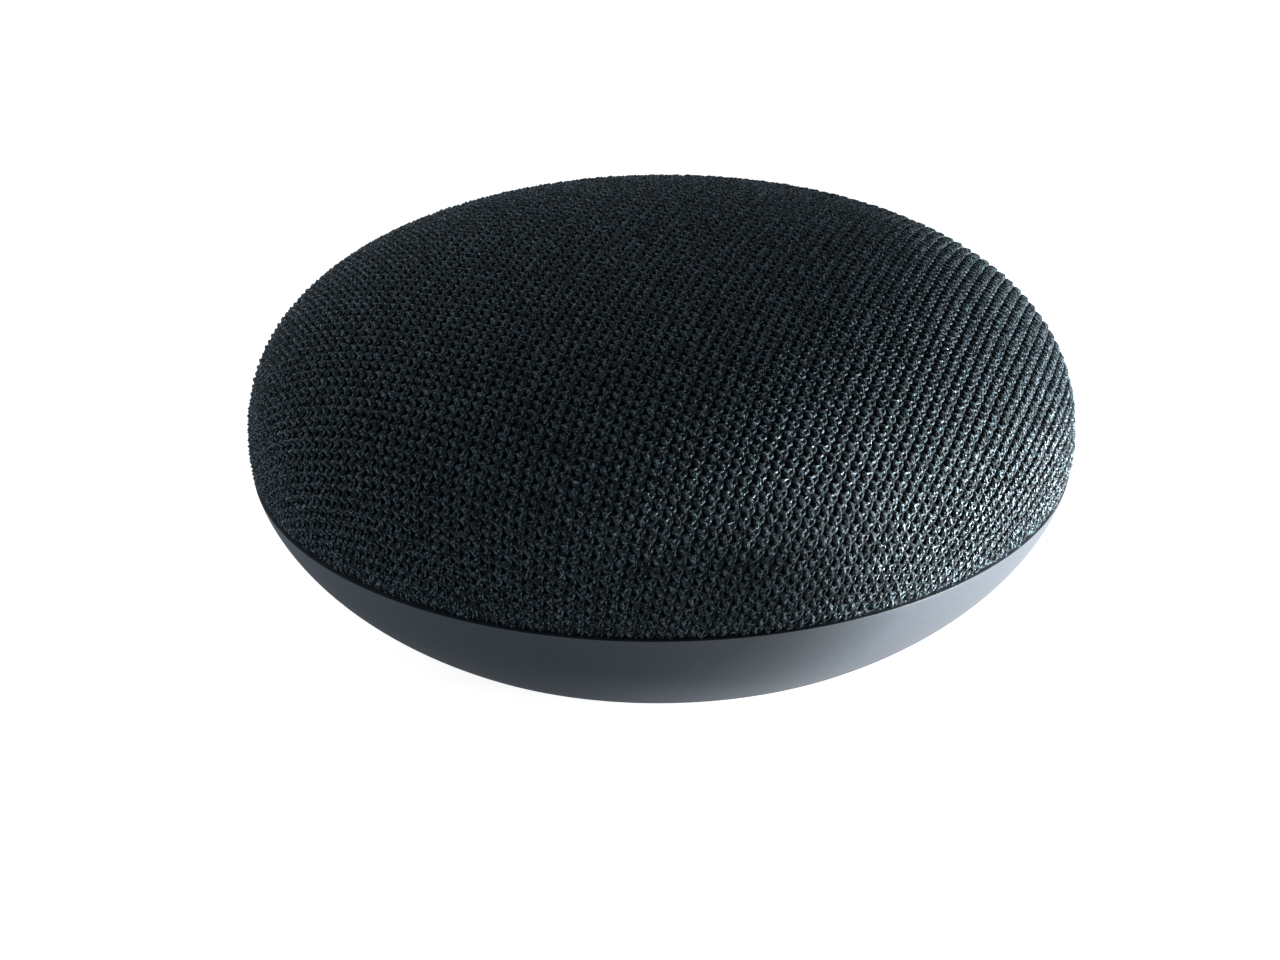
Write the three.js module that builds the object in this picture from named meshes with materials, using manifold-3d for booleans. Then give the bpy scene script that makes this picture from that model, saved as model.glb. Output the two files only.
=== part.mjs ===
// A small round smart speaker hub: a fabric-covered dome over a moulded bowl, with a full-range
// driver, an annular main board, a heat sink and a crescent input board inside.
// Millimetres, +Z up. The origin is the centre of the foot's underside. The power port faces +Y.

import * as THREE from "three";
import { mergeVertices } from "three/addons/utils/BufferGeometryUtils.js";
import Module from "manifold-3d";

const wasm = await Module();
wasm.setup();

// ---- Driving dimensions ----

const RADIUS = 49; // at the widest point
const HEIGHT = 42;
const WIDEST_Z = 19; // height of the widest point
const UPPER_POWER = 2.52; // superellipse power of the dome
const LOWER_POWER = 1.82; // and of the bowl
const LOWER_DEPTH = 28.4; // where the bowl's curve would meet the axis, below the widest point
const SEAM_Z = 16.2; // where fabric and bowl meet

const GAP = 0.3; // between pieces that touch
const FABRIC = 0.8;
const DOME_WALL = 1.8;
const BOWL_WALL = 2;
const ROUND_SIDES = 40; // facets of the large turned pieces
const SMALL_SIDES = 16;

const FOOT_RADIUS = 34.6;
const FOOT_TOP = 1.9;
const BOWL_UNDERSIDE = 1.2;
const FLOOR_UNDERSIDE = FOOT_TOP + GAP;
const FLOOR_TOP = 4;

const REAR = 90; // degrees from +X, as every angle here

// ---- Turning, cutting and placing ----

const materials = {};
function finish(name, color, roughness, metalness = 0) {
  materials[name] = new THREE.MeshStandardMaterial({ color, roughness, metalness });
}

const radians = THREE.MathUtils.degToRad;
const polar = (radius, degrees) => [
  radius * Math.cos(radians(degrees)),
  radius * Math.sin(radians(degrees)),
];

// A three.js geometry as a manifold-3d solid.
function solid(shape) {
  if (!shape.isBufferGeometry) return shape;
  const bare = shape.clone();
  bare.deleteAttribute("normal");
  bare.deleteAttribute("uv");
  const merged = mergeVertices(bare, 1e-4);
  return new wasm.Manifold(
    new wasm.Mesh({
      numProp: 3,
      vertProperties: merged.attributes.position.array,
      triVerts: new Uint32Array(merged.index.array),
    }),
  );
}

const join = (...shapes) => shapes.map(solid).reduce((a, b) => a.add(b));
const cut = (body, ...tools) => tools.map(solid).reduce((a, b) => a.subtract(b), solid(body));
const common = (a, b) => solid(a).intersect(solid(b));

function geometryOf(shape) {
  if (shape.isBufferGeometry) return shape;
  const mesh = shape.getMesh();
  return new THREE.BufferGeometry()
    .setAttribute("position", new THREE.BufferAttribute(mesh.vertProperties, 3))
    .setIndex(new THREE.BufferAttribute(mesh.triVerts, 1));
}

// A closed outline of [radius, z] points turned about Z.
function turned(outline, sides = ROUND_SIDES) {
  let twiceArea = 0;
  outline.forEach(([r0, z0], i) => {
    const [r1, z1] = outline[(i + 1) % outline.length];
    twiceArea += r0 * z1 - r1 * z0;
  });
  const ordered = twiceArea > 0 ? outline : [...outline].reverse();
  const first = ordered.findIndex(([r]) => r === 0);
  const closed = first < 0 ? [...ordered, ordered[0]] : [...ordered.slice(first), ...ordered.slice(0, first)];
  const onAxis = first >= 0 && closed.at(-1)[0] !== 0 ? [...closed.slice(1), closed[0]] : closed;
  const points = onAxis.map(([r, z]) => new THREE.Vector2(r, z));
  return new THREE.LatheGeometry(points, sides).rotateX(Math.PI / 2);
}

function rod(radius, z0, z1, [x, y] = [0, 0], sides = SMALL_SIDES) {
  return new THREE.CylinderGeometry(radius, radius, z1 - z0, sides)
    .rotateX(Math.PI / 2)
    .translate(x, y, (z0 + z1) / 2);
}

const ring = (inner, outer, z0, z1, sides = ROUND_SIDES) =>
  turned([[inner, z0], [outer, z0], [outer, z1], [inner, z1]], sides);

const block = (x0, x1, y0, y1, z0, z1) =>
  new THREE.BoxGeometry(x1 - x0, y1 - y0, z1 - z0).translate((x0 + x1) / 2, (y0 + y1) / 2, (z0 + z1) / 2);

// A bar of rounded-rectangle section, width along X and height along Z, running along Y from y0 to y1.
function roundedBar(width, height, corner, y0, y1, z) {
  const [w, h] = [width / 2 - corner, height / 2 - corner];
  const section = new THREE.Shape();
  section.absarc(w, h, corner, 0, Math.PI / 2);
  section.absarc(-w, h, corner, Math.PI / 2, Math.PI);
  section.absarc(-w, -h, corner, Math.PI, 1.5 * Math.PI);
  section.absarc(w, -h, corner, 1.5 * Math.PI, 2 * Math.PI);
  return new THREE.ExtrudeGeometry(section, { depth: y1 - y0, bevelEnabled: false, curveSegments: 3 })
    .rotateX(Math.PI / 2)
    .translate(0, y1, z);
}

// A strip of the given width that follows [along, z] points, with `along` measured towards +Y.
function strip(path, thickness, width) {
  const half = thickness / 2;
  const sides = path.map(([y, z], i) => {
    const [y0, z0] = path[Math.max(i - 1, 0)];
    const [y1, z1] = path[Math.min(i + 1, path.length - 1)];
    const length = Math.hypot(y1 - y0, z1 - z0);
    const [ny, nz] = [(-(z1 - z0) / length) * half, ((y1 - y0) / length) * half];
    return [[y + ny, z + nz], [y - ny, z - nz]];
  });
  const outline = [...sides.map((s) => s[0]), ...sides.map((s) => s[1]).reverse()];
  const section = new THREE.Shape(outline.map(([y, z]) => new THREE.Vector2(y, z)));
  return new THREE.ExtrudeGeometry(section, { depth: width, bevelEnabled: false })
    .translate(0, 0, -width / 2)
    .rotateY(Math.PI / 2)
    .rotateX(Math.PI / 2);
}

// Turns a piece that was drawn facing +Y so that it faces the given angle.
const facing = (shape, degrees) => shape.rotateZ(radians(degrees - REAR));

// The part of a turned solid between two angles.
function sector(shape, middle, halfAngle) {
  const reach = 2 * RADIUS;
  const [ax, ay] = polar(reach, middle - halfAngle);
  const [bx, by] = polar(reach, middle + halfAngle);
  const wedge = new THREE.Shape([new THREE.Vector2(0, 0), new THREE.Vector2(ax, ay), new THREE.Vector2(bx, by)]);
  return common(shape, new THREE.ExtrudeGeometry(wedge, { depth: HEIGHT, bevelEnabled: false }));
}

const hub = new THREE.Group();
function piece(name, shape, material) {
  const mesh = new THREE.Mesh(geometryOf(shape), materials[material]);
  mesh.name = name;
  hub.add(mesh);
}

finish("charcoal_fabric", 0x15181a, 0.95);
finish("slate_plastic", 0x474d55, 0.45);
finish("black_plastic", 0x1c1d1f, 0.55);
finish("foot_silicone", 0x3a3e43, 0.8);
finish("cast_aluminium", 0xa4a7aa, 0.45, 0.9);
finish("steel", 0x8f9296, 0.35, 0.9);
finish("shield_tin", 0xb9bcbf, 0.35, 0.9);
finish("copper", 0xc0703c, 0.4, 0.9);
finish("gold_contact", 0xcaa24a, 0.35, 0.9);
finish("board_green", 0x14482c, 0.55);
finish("chip_black", 0x17181a, 0.6);
finish("white_plastic", 0xe6e6e2, 0.4);
finish("clear_guide", 0xeef2f4, 0.2);
finish("ferrite", 0x2c2c2e, 0.7);
finish("cone_paper", 0x232324, 0.9);
finish("black_rubber", 0x161616, 0.8);
finish("spider_cloth", 0xb9964f, 0.9);
finish("foam_grey", 0x4a4b4c, 0.95);

// ---- The outer curve ----

// Points of the dome's curve, moved inwards by `inset`, from the widest point up to the axis.
function domeCurve(inset, steps) {
  const rise = HEIGHT - WIDEST_Z;
  return Array.from({ length: steps + 1 }, (_, i) => {
    const turn = (i / steps) * (Math.PI / 2);
    if (i === steps) return [0, HEIGHT - inset];
    const [c, s] = [Math.cos(turn) ** (2 / UPPER_POWER), Math.sin(turn) ** (2 / UPPER_POWER)];
    const [nr, nz] = [c ** (UPPER_POWER - 1) / RADIUS, s ** (UPPER_POWER - 1) / rise];
    const length = Math.hypot(nr, nz);
    return [RADIUS * c - (inset * nr) / length, WIDEST_Z + rise * s - (inset * nz) / length];
  });
}

// The bowl's curve at height z, moved inwards by `inset` along its normal there.
function bowlPoint(z, inset) {
  const depth = (WIDEST_Z - z) / LOWER_DEPTH;
  const r = (1 - depth ** LOWER_POWER) ** (1 / LOWER_POWER);
  const [nr, nz] = [r ** (LOWER_POWER - 1) / RADIUS, -(depth ** (LOWER_POWER - 1)) / LOWER_DEPTH];
  const length = Math.hypot(nr, nz);
  return [RADIUS * r - (inset * nr) / length, z - (inset * nz) / length];
}

// Points of the bowl's curve from z0 up to z1.
const bowlCurve = (inset, z0, z1, steps) =>
  Array.from({ length: steps + 1 }, (_, i) => bowlPoint(z0 + ((z1 - z0) * i) / steps, inset));

// Height of the dome's curve, moved inwards by `inset`, at a radius.
function domeHeight(radius, inset) {
  const points = domeCurve(inset, 90);
  const above = points.findIndex(([r]) => r < radius);
  const [[r0, z0], [r1, z1]] = [points[above - 1], points[above]];
  return z0 + ((z1 - z0) * (r0 - radius)) / (r0 - r1);
}

// ---- Fabric cover: knitted cloth stretched over the dome down to the seam ----

const DOME_STEPS = 7;
const fabricHem = SEAM_Z + GAP / 2;
piece(
  "fabric_cover",
  turned([
    ...bowlCurve(0, fabricHem, WIDEST_Z - 0.9, 1),
    ...domeCurve(0, DOME_STEPS),
    ...domeCurve(FABRIC, DOME_STEPS).reverse(),
    ...bowlCurve(FABRIC, fabricHem, WIDEST_Z - 0.9, 1).reverse(),
  ]),
  "charcoal_fabric",
);

// ---- Top shell: perforated dome with screw bosses, light posts and ribs that clamp the driver ----

const DOME_OUTER = FABRIC + GAP;
const DOME_INNER = DOME_OUTER + DOME_WALL;
const DOME_RIM = SEAM_Z + 1;
const SCREW_CIRCLE = 31.5;
const SCREW_ANGLES = [45, 135, 225, 315];
const SINK_Z = 18.5;
const SINK_TOP = 20.5;
const FLANGE_TOP = 28.7; // of the driver's frame
const LIGHT_X = [-10.5, -3.5, 3.5, 10.5];
const LIGHT_BOARD_TOP = 36;

const domeRimPoint = (inset) => [bowlPoint(DOME_RIM, inset)[0], DOME_RIM];
const domeSkin = turned([
  domeRimPoint(DOME_OUTER),
  ...domeCurve(DOME_OUTER, DOME_STEPS),
  ...domeCurve(DOME_INNER, DOME_STEPS).reverse(),
  domeRimPoint(DOME_INNER),
]);
const underDome = turned([[0, 0], ...domeCurve(DOME_INNER - 0.5, DOME_STEPS)]);

const BOSS_RADIUS = 2.6;
const PILOT_RADIUS = 1.6;
const PILOT_TOP = 28.5;
const domeBosses = SCREW_ANGLES.map((angle) =>
  cut(
    common(rod(BOSS_RADIUS, SINK_TOP + GAP, HEIGHT, polar(SCREW_CIRCLE, angle), 12), underDome),
    rod(PILOT_RADIUS, 0, PILOT_TOP, polar(SCREW_CIRCLE, angle), 8),
  ),
);
const clampRibs = SCREW_ANGLES.map((angle) =>
  common(facing(block(-0.8, 0.8, 21.9, 23.4, FLANGE_TOP + GAP, HEIGHT), angle), underDome),
);
const lightPosts = [-15, 15].map((x) => common(rod(1.6, LIGHT_BOARD_TOP + GAP, HEIGHT, [x, 0], 8), underDome));

// Rings of [radius, count] sound holes, left out where a light, a light post or a rib stands.
const HOLE_RADIUS = 2.2;
const HOLE_RINGS = [[8, 6], [14, 8], [20, 10], [26, 12]];
const soundHoles = HOLE_RINGS.flatMap(([radius, count]) =>
  Array.from({ length: count }, (_, i) => polar(radius, ((i + 0.5) * 360) / count)),
).filter(([x, y]) => {
  const besideLights = Math.abs(x) < 19 && Math.abs(y) < 4;
  const besideRib = SCREW_ANGLES.some((a) => Math.hypot(x - polar(22.6, a)[0], y - polar(22.6, a)[1]) < 3.2);
  return !besideLights && !besideRib;
});
const MIC_X = [-36, 36];
piece(
  "top_shell",
  cut(
    join(domeSkin, ...domeBosses, ...clampRibs, ...lightPosts),
    ...soundHoles.map((at) => rod(HOLE_RADIUS, HEIGHT - 9, HEIGHT, at, 6)),
    ...LIGHT_X.map((x) => rod(1.9, HEIGHT - 5, HEIGHT, [x, 0], 8)),
    ...MIC_X.map((x) => rod(0.9, HEIGHT - 14, HEIGHT, [x, 0], 8)),
  ),
  "black_plastic",
);

// ---- Input board's place, which the bowl's port and slots follow ----

const INPUT_Z = 7.5; // underside of the input board
const INPUT_TOP = INPUT_Z + 1;
const INPUT_INNER = 26;
const INPUT_OUTER = 36;
const SOCKET_Z = [INPUT_TOP + GAP, INPUT_TOP + GAP + 2.7];
const PORT_Z = (SOCKET_Z[0] + SOCKET_Z[1]) / 2;
const PORT_WIDTH = 11.6;
const PORT_HEIGHT = 8.4;
const PORT_FLOOR_Y = 38.6; // back wall of the port's recess
const SLEEVE_WALL = 1.5;
const RESET_AT = [0, 29];
const INPUT_SCREWS = [polar(28.2, 60), polar(28.2, 118)];

// The mute slider's own frame: X along its travel, Y out of the bowl, Z up the bowl's wall.
const MUTE_ANGLE = 63;
const MUTE_Z = 10.1;
const MUTE_TRAVEL = 2;
const MUTE_START = -MUTE_TRAVEL / 2; // centre of the slider at rest
const [muteRadius] = bowlPoint(MUTE_Z, 0);
const muteLean = (() => {
  const [below, above] = [bowlPoint(MUTE_Z - 0.5, 0), bowlPoint(MUTE_Z + 0.5, 0)];
  return Math.atan2(above[0] - below[0], above[1] - below[1]);
})();
const onMuteWall = (shape) =>
  facing(shape.rotateX(-muteLean).translate(0, muteRadius, MUTE_Z), MUTE_ANGLE);

// ---- Bottom shell: the moulded bowl, with port sleeve, slider slot and bosses ----

const LIP_OUTER = 45.3; // spigot that the dome's rim slips over
const LIP_INNER = 44.1;
const LIP_TOP = 18.8;
const bowlRim = SEAM_Z - GAP / 2;
const bowlOutside = bowlCurve(0, BOWL_UNDERSIDE + 0.5, bowlRim, 6);
const bowlInside = bowlCurve(BOWL_WALL, FLOOR_TOP - 1.1, bowlRim - 1, 5);
const bowlSkin = turned([
  [0, FLOOR_UNDERSIDE],
  [FOOT_RADIUS + GAP, FLOOR_UNDERSIDE],
  [FOOT_RADIUS + GAP, BOWL_UNDERSIDE],
  [bowlOutside[0][0] - 0.7, BOWL_UNDERSIDE],
  ...bowlOutside,
  [LIP_OUTER, bowlRim],
  [LIP_OUTER, LIP_TOP],
  [LIP_INNER, LIP_TOP],
  [LIP_INNER, bowlRim],
  ...bowlInside.reverse(),
  [bowlInside.at(-1)[0] - 1.5, FLOOR_TOP],
  [0, FLOOR_TOP],
]);
const bowlFilled = turned([[0, BOWL_UNDERSIDE], ...bowlOutside, [0, bowlRim]]);

const BOWL_BOSS = 3.6;
const HEAD_SEAT = 5.2;
const bowlBosses = SCREW_ANGLES.map((a) => rod(BOWL_BOSS, FLOOR_TOP - 0.5, SINK_Z - GAP, polar(SCREW_CIRCLE, a), 12));
const inputBosses = INPUT_SCREWS.map((at) => rod(2.1, FLOOR_TOP - 0.5, INPUT_Z - GAP, at, 12));
const boxSeat = ring(24.1, 25.1, FLOOR_TOP - 0.5, 7.4);
const sleeve = common(
  roundedBar(PORT_WIDTH + 2 * SLEEVE_WALL, PORT_HEIGHT + 2 * SLEEVE_WALL, 2.6, PORT_FLOOR_Y - 2, RADIUS, PORT_Z),
  bowlFilled,
);

const KNOB_WIDTH = 4.6;
const KNOB_HEIGHT = 2.8;
const SLOT_CLEARANCE = 0.4;
const fingerDish = onMuteWall(roundedBar(13.5, 6.4, 3, -0.9, 4, 0));
const muteSlot = onMuteWall(
  roundedBar(KNOB_WIDTH + MUTE_TRAVEL + 2 * SLOT_CLEARANCE, KNOB_HEIGHT + 2 * SLOT_CLEARANCE, 0.8, -4, 4, 0),
);
piece(
  "bottom_shell",
  cut(
    join(bowlSkin, ...bowlBosses, ...inputBosses, boxSeat, sleeve),
    roundedBar(PORT_WIDTH, PORT_HEIGHT, 2, PORT_FLOOR_Y, RADIUS + 5, PORT_Z),
    block(-4.1, 4.1, PORT_FLOOR_Y - 3, PORT_FLOOR_Y + 1, SOCKET_Z[0] - GAP, SOCKET_Z[1] + GAP),
    fingerDish,
    muteSlot,
    rod(2.3, 0, FLOOR_TOP + 1, RESET_AT, 12),
    ...SCREW_ANGLES.map((a) => rod(2.7, 0, HEAD_SEAT, polar(SCREW_CIRCLE, a), 12)),
    ...SCREW_ANGLES.map((a) => rod(1.6, 0, HEIGHT, polar(SCREW_CIRCLE, a), 8)),
    ...INPUT_SCREWS.map((at) => rod(1.1, FLOOR_TOP + 0.6, INPUT_Z, at, 8)),
  ),
  "slate_plastic",
);

// ---- Foot: non-slip silicone disc, with a hole over the reset button ----

const footDisc = turned([
  [0, 0],
  [FOOT_RADIUS - 1.3, 0],
  [FOOT_RADIUS - 0.4, 0.3],
  [FOOT_RADIUS, 0.9],
  [FOOT_RADIUS, FOOT_TOP],
  [0, FOOT_TOP],
]);
piece("foot_pad", cut(footDisc, rod(2.3, -1, 3, RESET_AT, 16)), "foot_silicone");

// ---- Reset button: a flanged pin that pushes a switch under the input board ----

const RESET_FACE = 0.4;
const resetPin = turned(
  [[0, RESET_FACE], [1.5, RESET_FACE], [1.8, RESET_FACE + 0.3], [1.8, 4.3], [3, 4.3], [3, 4.8], [0, 4.8]],
  16,
);
piece("reset_button", resetPin.translate(...RESET_AT, 0), "slate_plastic");
const resetSwitch = join(
  block(-2.4, 2.4, RESET_AT[1] - 1.9, RESET_AT[1] + 1.9, 6.1, INPUT_Z - GAP),
  rod(1, 5.6, 6.5, RESET_AT, 12),
);
piece("reset_switch", resetSwitch, "black_plastic");

// ---- Mute slider: ribbed knob on a plate behind the slot, with an arm to the switch's lever ----

const knob = block(MUTE_START - KNOB_WIDTH / 2, MUTE_START + KNOB_WIDTH / 2, -3.8, 0.4, -KNOB_HEIGHT / 2, KNOB_HEIGHT / 2);
const knobGrooves = [-1.2, 0, 1.2].map((x) => block(MUTE_START + x - 0.2, MUTE_START + x + 0.2, 0.1, 1, -2, 2));
const slidePlate = block(MUTE_START - 5.8, MUTE_START + 5.8, -4.1, -3.2, -2.7, 2.7);
const ARM_Z = [10.4, 11.4];
const arm = facing(block(MUTE_START - 1.6, MUTE_START + 1.6, 33, 41.9, ...ARM_Z), MUTE_ANGLE);
const leverNotch = facing(block(MUTE_START - 0.8, MUTE_START + 0.8, 32, 35.2, 9, 13), MUTE_ANGLE);
piece(
  "mute_slider",
  cut(join(onMuteWall(geometryOf(cut(join(knob, slidePlate), ...knobGrooves))), arm), leverNotch),
  "slate_plastic",
);
piece(
  "mute_lever",
  facing(block(MUTE_START - 0.5, MUTE_START + 0.5, 33.7, 34.7, INPUT_TOP + 1.9, 11.6), MUTE_ANGLE),
  "black_plastic",
);
piece("mute_switch", facing(block(-3.6, 3.6, 32.6, 35.7, INPUT_TOP + GAP, INPUT_TOP + 1.6), MUTE_ANGLE), "steel");

// ---- Input board: a crescent that carries the power socket and both switches ----

const crescent = sector(ring(INPUT_INNER, INPUT_OUTER, INPUT_Z, INPUT_TOP), 89, 35);
piece("input_board", cut(crescent, ...INPUT_SCREWS.map((at) => rod(1.1, 5, 10, at, 12))), "board_green");

const SOCKET_FACE_Y = PORT_FLOOR_Y + GAP;
function socketSection(inset) {
  const [wide, narrow, top, bottom] = [3.75 - inset, 2.9 - inset, SOCKET_Z[1] - inset, SOCKET_Z[0] + inset];
  const outline = [[-wide, top], [-wide, bottom + 1], [-narrow, bottom], [narrow, bottom], [wide, bottom + 1], [wide, top]];
  return new THREE.Shape(outline.map(([x, z]) => new THREE.Vector2(x, z)));
}
const alongY = (section, y0, y1) =>
  new THREE.ExtrudeGeometry(section, { depth: y1 - y0, bevelEnabled: false }).rotateX(Math.PI / 2).translate(0, y1, 0);
piece(
  "power_socket",
  join(
    cut(alongY(socketSection(0), 33, SOCKET_FACE_Y), alongY(socketSection(0.35), 33.8, SOCKET_FACE_Y + 1)),
    block(-1.8, 1.8, 33.4, SOCKET_FACE_Y - 0.6, PORT_Z - 0.1, PORT_Z + 0.5),
  ),
  "steel",
);

const RIBBON_ANGLE = 112;
piece("ribbon_socket_lower", facing(block(-4, 4, 31.4, 35.2, INPUT_TOP + GAP, INPUT_TOP + 1.7), RIBBON_ANGLE), "white_plastic");

// ---- Heat sink: cast ring with fins below and standoffs for the main board ----

const BOARD_Z = 23.5;
const BOARD_TOP = 24.7;
const SINK_INNER = 24.3;
const SINK_OUTER = 41.8;
const BOARD_SCREWS = [polar(38, 20), polar(38, 160), polar(38, 270)];
const FIN_STEP = 12;
const finAngles = Array.from({ length: 13 }, (_, i) => 198 + FIN_STEP * i).filter((a) =>
  SCREW_ANGLES.every((s) => Math.abs(a - s) > 8),
);
const fins = finAngles.map((a) => facing(block(-0.6, 0.6, 26.5, 40, 13.5, SINK_Z + 0.5), a));
const standoffs = BOARD_SCREWS.map((at) => rod(2.2, SINK_TOP - 0.5, BOARD_Z - GAP, at, 16));
piece(
  "heat_sink",
  cut(
    join(ring(SINK_INNER, SINK_OUTER, SINK_Z, SINK_TOP), ...fins, ...standoffs),
    ...SCREW_ANGLES.map((a) => rod(1.7, SINK_Z - 1, SINK_TOP + 1, polar(SCREW_CIRCLE, a), 12)),
    ...BOARD_SCREWS.map((at) => rod(1.2, SINK_Z + 0.5, BOARD_Z, at, 10)),
  ),
  "cast_aluminium",
);

// ---- Main board and what is soldered to it ----

piece(
  "main_board",
  cut(
    ring(24.6, 41, BOARD_Z, BOARD_TOP),
    ...SCREW_ANGLES.map((a) => rod(3.1, 20, 30, polar(SCREW_CIRCLE, a), 12)),
    ...BOARD_SCREWS.map((at) => rod(1.1, 20, 30, at, 12)),
  ),
  "board_green",
);
const UNDER_CHIP = [BOARD_Z - 1.5, BOARD_Z - GAP];
const ON_BOARD = BOARD_TOP + GAP;
piece("processor", block(-39.5, -26.5, -6.5, 6.5, ...UNDER_CHIP), "chip_black");
piece("thermal_pad", block(-39, -27, -6, 6, SINK_TOP + GAP, UNDER_CHIP[0] - GAP), "foam_grey");
piece("memory_chip", block(27.5, 38.5, -4.5, 4.5, ...UNDER_CHIP), "chip_black");
piece("wifi_shield", block(-7.8, 7.8, 27, 39, ON_BOARD, ON_BOARD + 2.4), "shield_tin");
piece("amplifier_chip", facing(block(-3, 3, 30, 36, ON_BOARD, ON_BOARD + 1), 246), "chip_black");
piece("power_coil", facing(block(-3.5, 3.5, 29, 36, ON_BOARD, ON_BOARD + 3.2), 292), "ferrite");
piece("capacitor", rod(2.6, ON_BOARD, ON_BOARD + 5, polar(29.5, 270), 20), "steel");
piece("speaker_plug", facing(block(-2.6, 2.6, 26, 29.6, ON_BOARD, ON_BOARD + 2.6), 200), "white_plastic");
piece("ribbon_socket_upper", facing(block(-4, 4, 34.6, 38.3, ON_BOARD, ON_BOARD + 1.6), RIBBON_ANGLE), "white_plastic");

const RIBBON_PATH = [
  [35.5, 9.4], [38, 9.4], [39.6, 10.2], [41.8, 13.2], [42.8, 16], [43, 18],
  [43, 23.6], [42.7, 25.2], [41.7, 26.2], [40.4, 26.3], [38.6, 25.9],
];
piece("ribbon_cable", facing(strip(RIBBON_PATH, 0.3, 6), RIBBON_ANGLE), "white_plastic");

// ---- Microphones, each with a rubber boot up to the dome ----

const BOOT_RADIUS = 2.6;
const bootTop = domeHeight(MIC_X[1] + BOOT_RADIUS, DOME_INNER) - 1.5 * GAP;
["left", "right"].forEach((side, i) => {
  const x = MIC_X[i];
  piece(`microphone_${side}`, block(x - 2, x + 2, -1.5, 1.5, ON_BOARD, ON_BOARD + 1.1), "shield_tin");
  piece(`microphone_boot_${side}`, ring(0.8, BOOT_RADIUS, ON_BOARD + 1.1 + GAP, bootTop, 16).translate(x, 0, 0), "black_rubber");
});

// ---- Touch pads and aerials: foils on the dome's inner wall ----

const FOIL = 0.3;
const foilBand = (z0, z1) => {
  const lies = ([, z]) => z > z0 && z < z1;
  const inset = DOME_INNER + 1.5 * GAP;
  return turned([...domeCurve(inset, 16).filter(lies), ...domeCurve(inset + FOIL, 16).filter(lies).reverse()]);
};
piece("touch_pad_left", sector(foilBand(21, 29.5), 180, 26), "copper");
piece("touch_pad_right", sector(foilBand(21, 29.5), 0, 26), "copper");
piece("aerial_front", sector(foilBand(25, 33), 270, 14), "copper");
piece("aerial_rear", sector(foilBand(25, 33), 75, 12), "copper");

// ---- Status lights: a strip board, four lights and a moulded light guide ----

const LIGHT_BOARD_Z = LIGHT_BOARD_TOP - 1;
piece("light_board", block(-17.2, 17.2, -3.5, 3.5, LIGHT_BOARD_Z, LIGHT_BOARD_TOP), "board_green");
LIGHT_X.forEach((x, i) => {
  piece(`light_${i + 1}`, block(x - 0.8, x + 0.8, -0.8, 0.8, LIGHT_BOARD_TOP + GAP, LIGHT_BOARD_TOP + 1.1), "white_plastic");
});
const GUIDE_Z = LIGHT_BOARD_TOP + 1.1 + GAP;
piece(
  "light_guide",
  join(
    block(-12.6, 12.6, -1.8, 1.8, GUIDE_Z, GUIDE_Z + 0.9),
    ...LIGHT_X.map((x) => rod(1.4, GUIDE_Z + 0.5, HEIGHT - DOME_OUTER - 0.3, [x, 0], 10)),
  ),
  "clear_guide",
);
const FLEX_PATH = [[17.5, 35.5], [19.6, 35.5], [21.4, 34.6], [24.6, 28.8], [26, 26.4], [27.4, 25.3], [29.6, 25.15]];
piece("light_flex", facing(strip(FLEX_PATH, 0.3, 4), 0), "copper");

// ---- Driver: motor, frame, moving cone and its sealed box ----

const DRIVER_SIDES = 28;
const driver = (outline) => turned(outline, DRIVER_SIDES);
piece(
  "speaker_box",
  driver([[0, 4.3], [23.7, 4.3], [23.7, 26.5], [20, 26.5], [20, 25.3], [22.2, 25.3], [22.2, 5.6], [0, 5.6]]),
  "black_plastic",
);
piece("speaker_gasket", ring(20, 22.8, 26.8, 27.4, DRIVER_SIDES), "foam_grey");
const frameBell = driver([
  [9.5, 16.7], [13, 16.7], [15, 18], [18.2, 18], [19.3, 27.7], [22.8, 27.7],
  [22.8, FLANGE_TOP], [18.5, FLANGE_TOP], [17.4, 18.9], [14.5, 18.9], [12.5, 17.6], [9.5, 17.6],
]);
const frameWindows = [0, 90, 180, 270].map((a) => facing(block(-6.5, 6.5, 16, 20.5, 19.6, 26.2), a));
piece("speaker_frame", cut(frameBell, ...frameWindows), "steel");
piece("speaker_yoke", driver([[0, 7.4], [13.5, 7.4], [13.5, 9.6], [6.2, 9.6], [6.2, 16.6], [0, 16.6]]), "steel");
piece("speaker_magnet", ring(8.2, 14.5, 9.9, 14.1, DRIVER_SIDES), "ferrite");
piece("speaker_front_plate", ring(7.6, 13.5, 14.4, 16.4, DRIVER_SIDES), "steel");
piece("voice_coil", ring(6.65, 7.1, 12.6, 20.6, DRIVER_SIDES), "copper");

const ripple = (r) => 19.8 + 0.35 * Math.cos(((r - 7.5) / 3) * 2 * Math.PI);
const spiderRadii = Array.from({ length: 7 }, (_, i) => 7.5 + 1.5 * i);
piece(
  "speaker_spider",
  turned([...spiderRadii.map((r) => [r, ripple(r) - 0.2]), ...spiderRadii.map((r) => [r, ripple(r) + 0.2]).reverse()], 24),
  "spider_cloth",
);
piece(
  "speaker_cone",
  driver([[7.5, 21], [10.5, 23.2], [13.6, 26], [16.2, 28.7], [15.5, 28.7], [13.1, 26.3], [10.1, 23.7], [7.5, 21.6]]),
  "cone_paper",
);
const capPoints = [0, 3, 5.8, 8.4];
const capHeight = (r) => 25.4 - (r * r) / 33;
piece(
  "dust_cap",
  driver([...capPoints.map((r) => [r, capHeight(r)]), ...capPoints.map((r) => [r, capHeight(r) + 0.4]).reverse()]),
  "cone_paper",
);
const rollArc = Array.from({ length: 6 }, (_, i) => Math.PI * (1 - i / 5));
const roll = (radius) => rollArc.map((a) => [17.6 + radius * Math.cos(a), 29 + radius * Math.sin(a)]);
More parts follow.
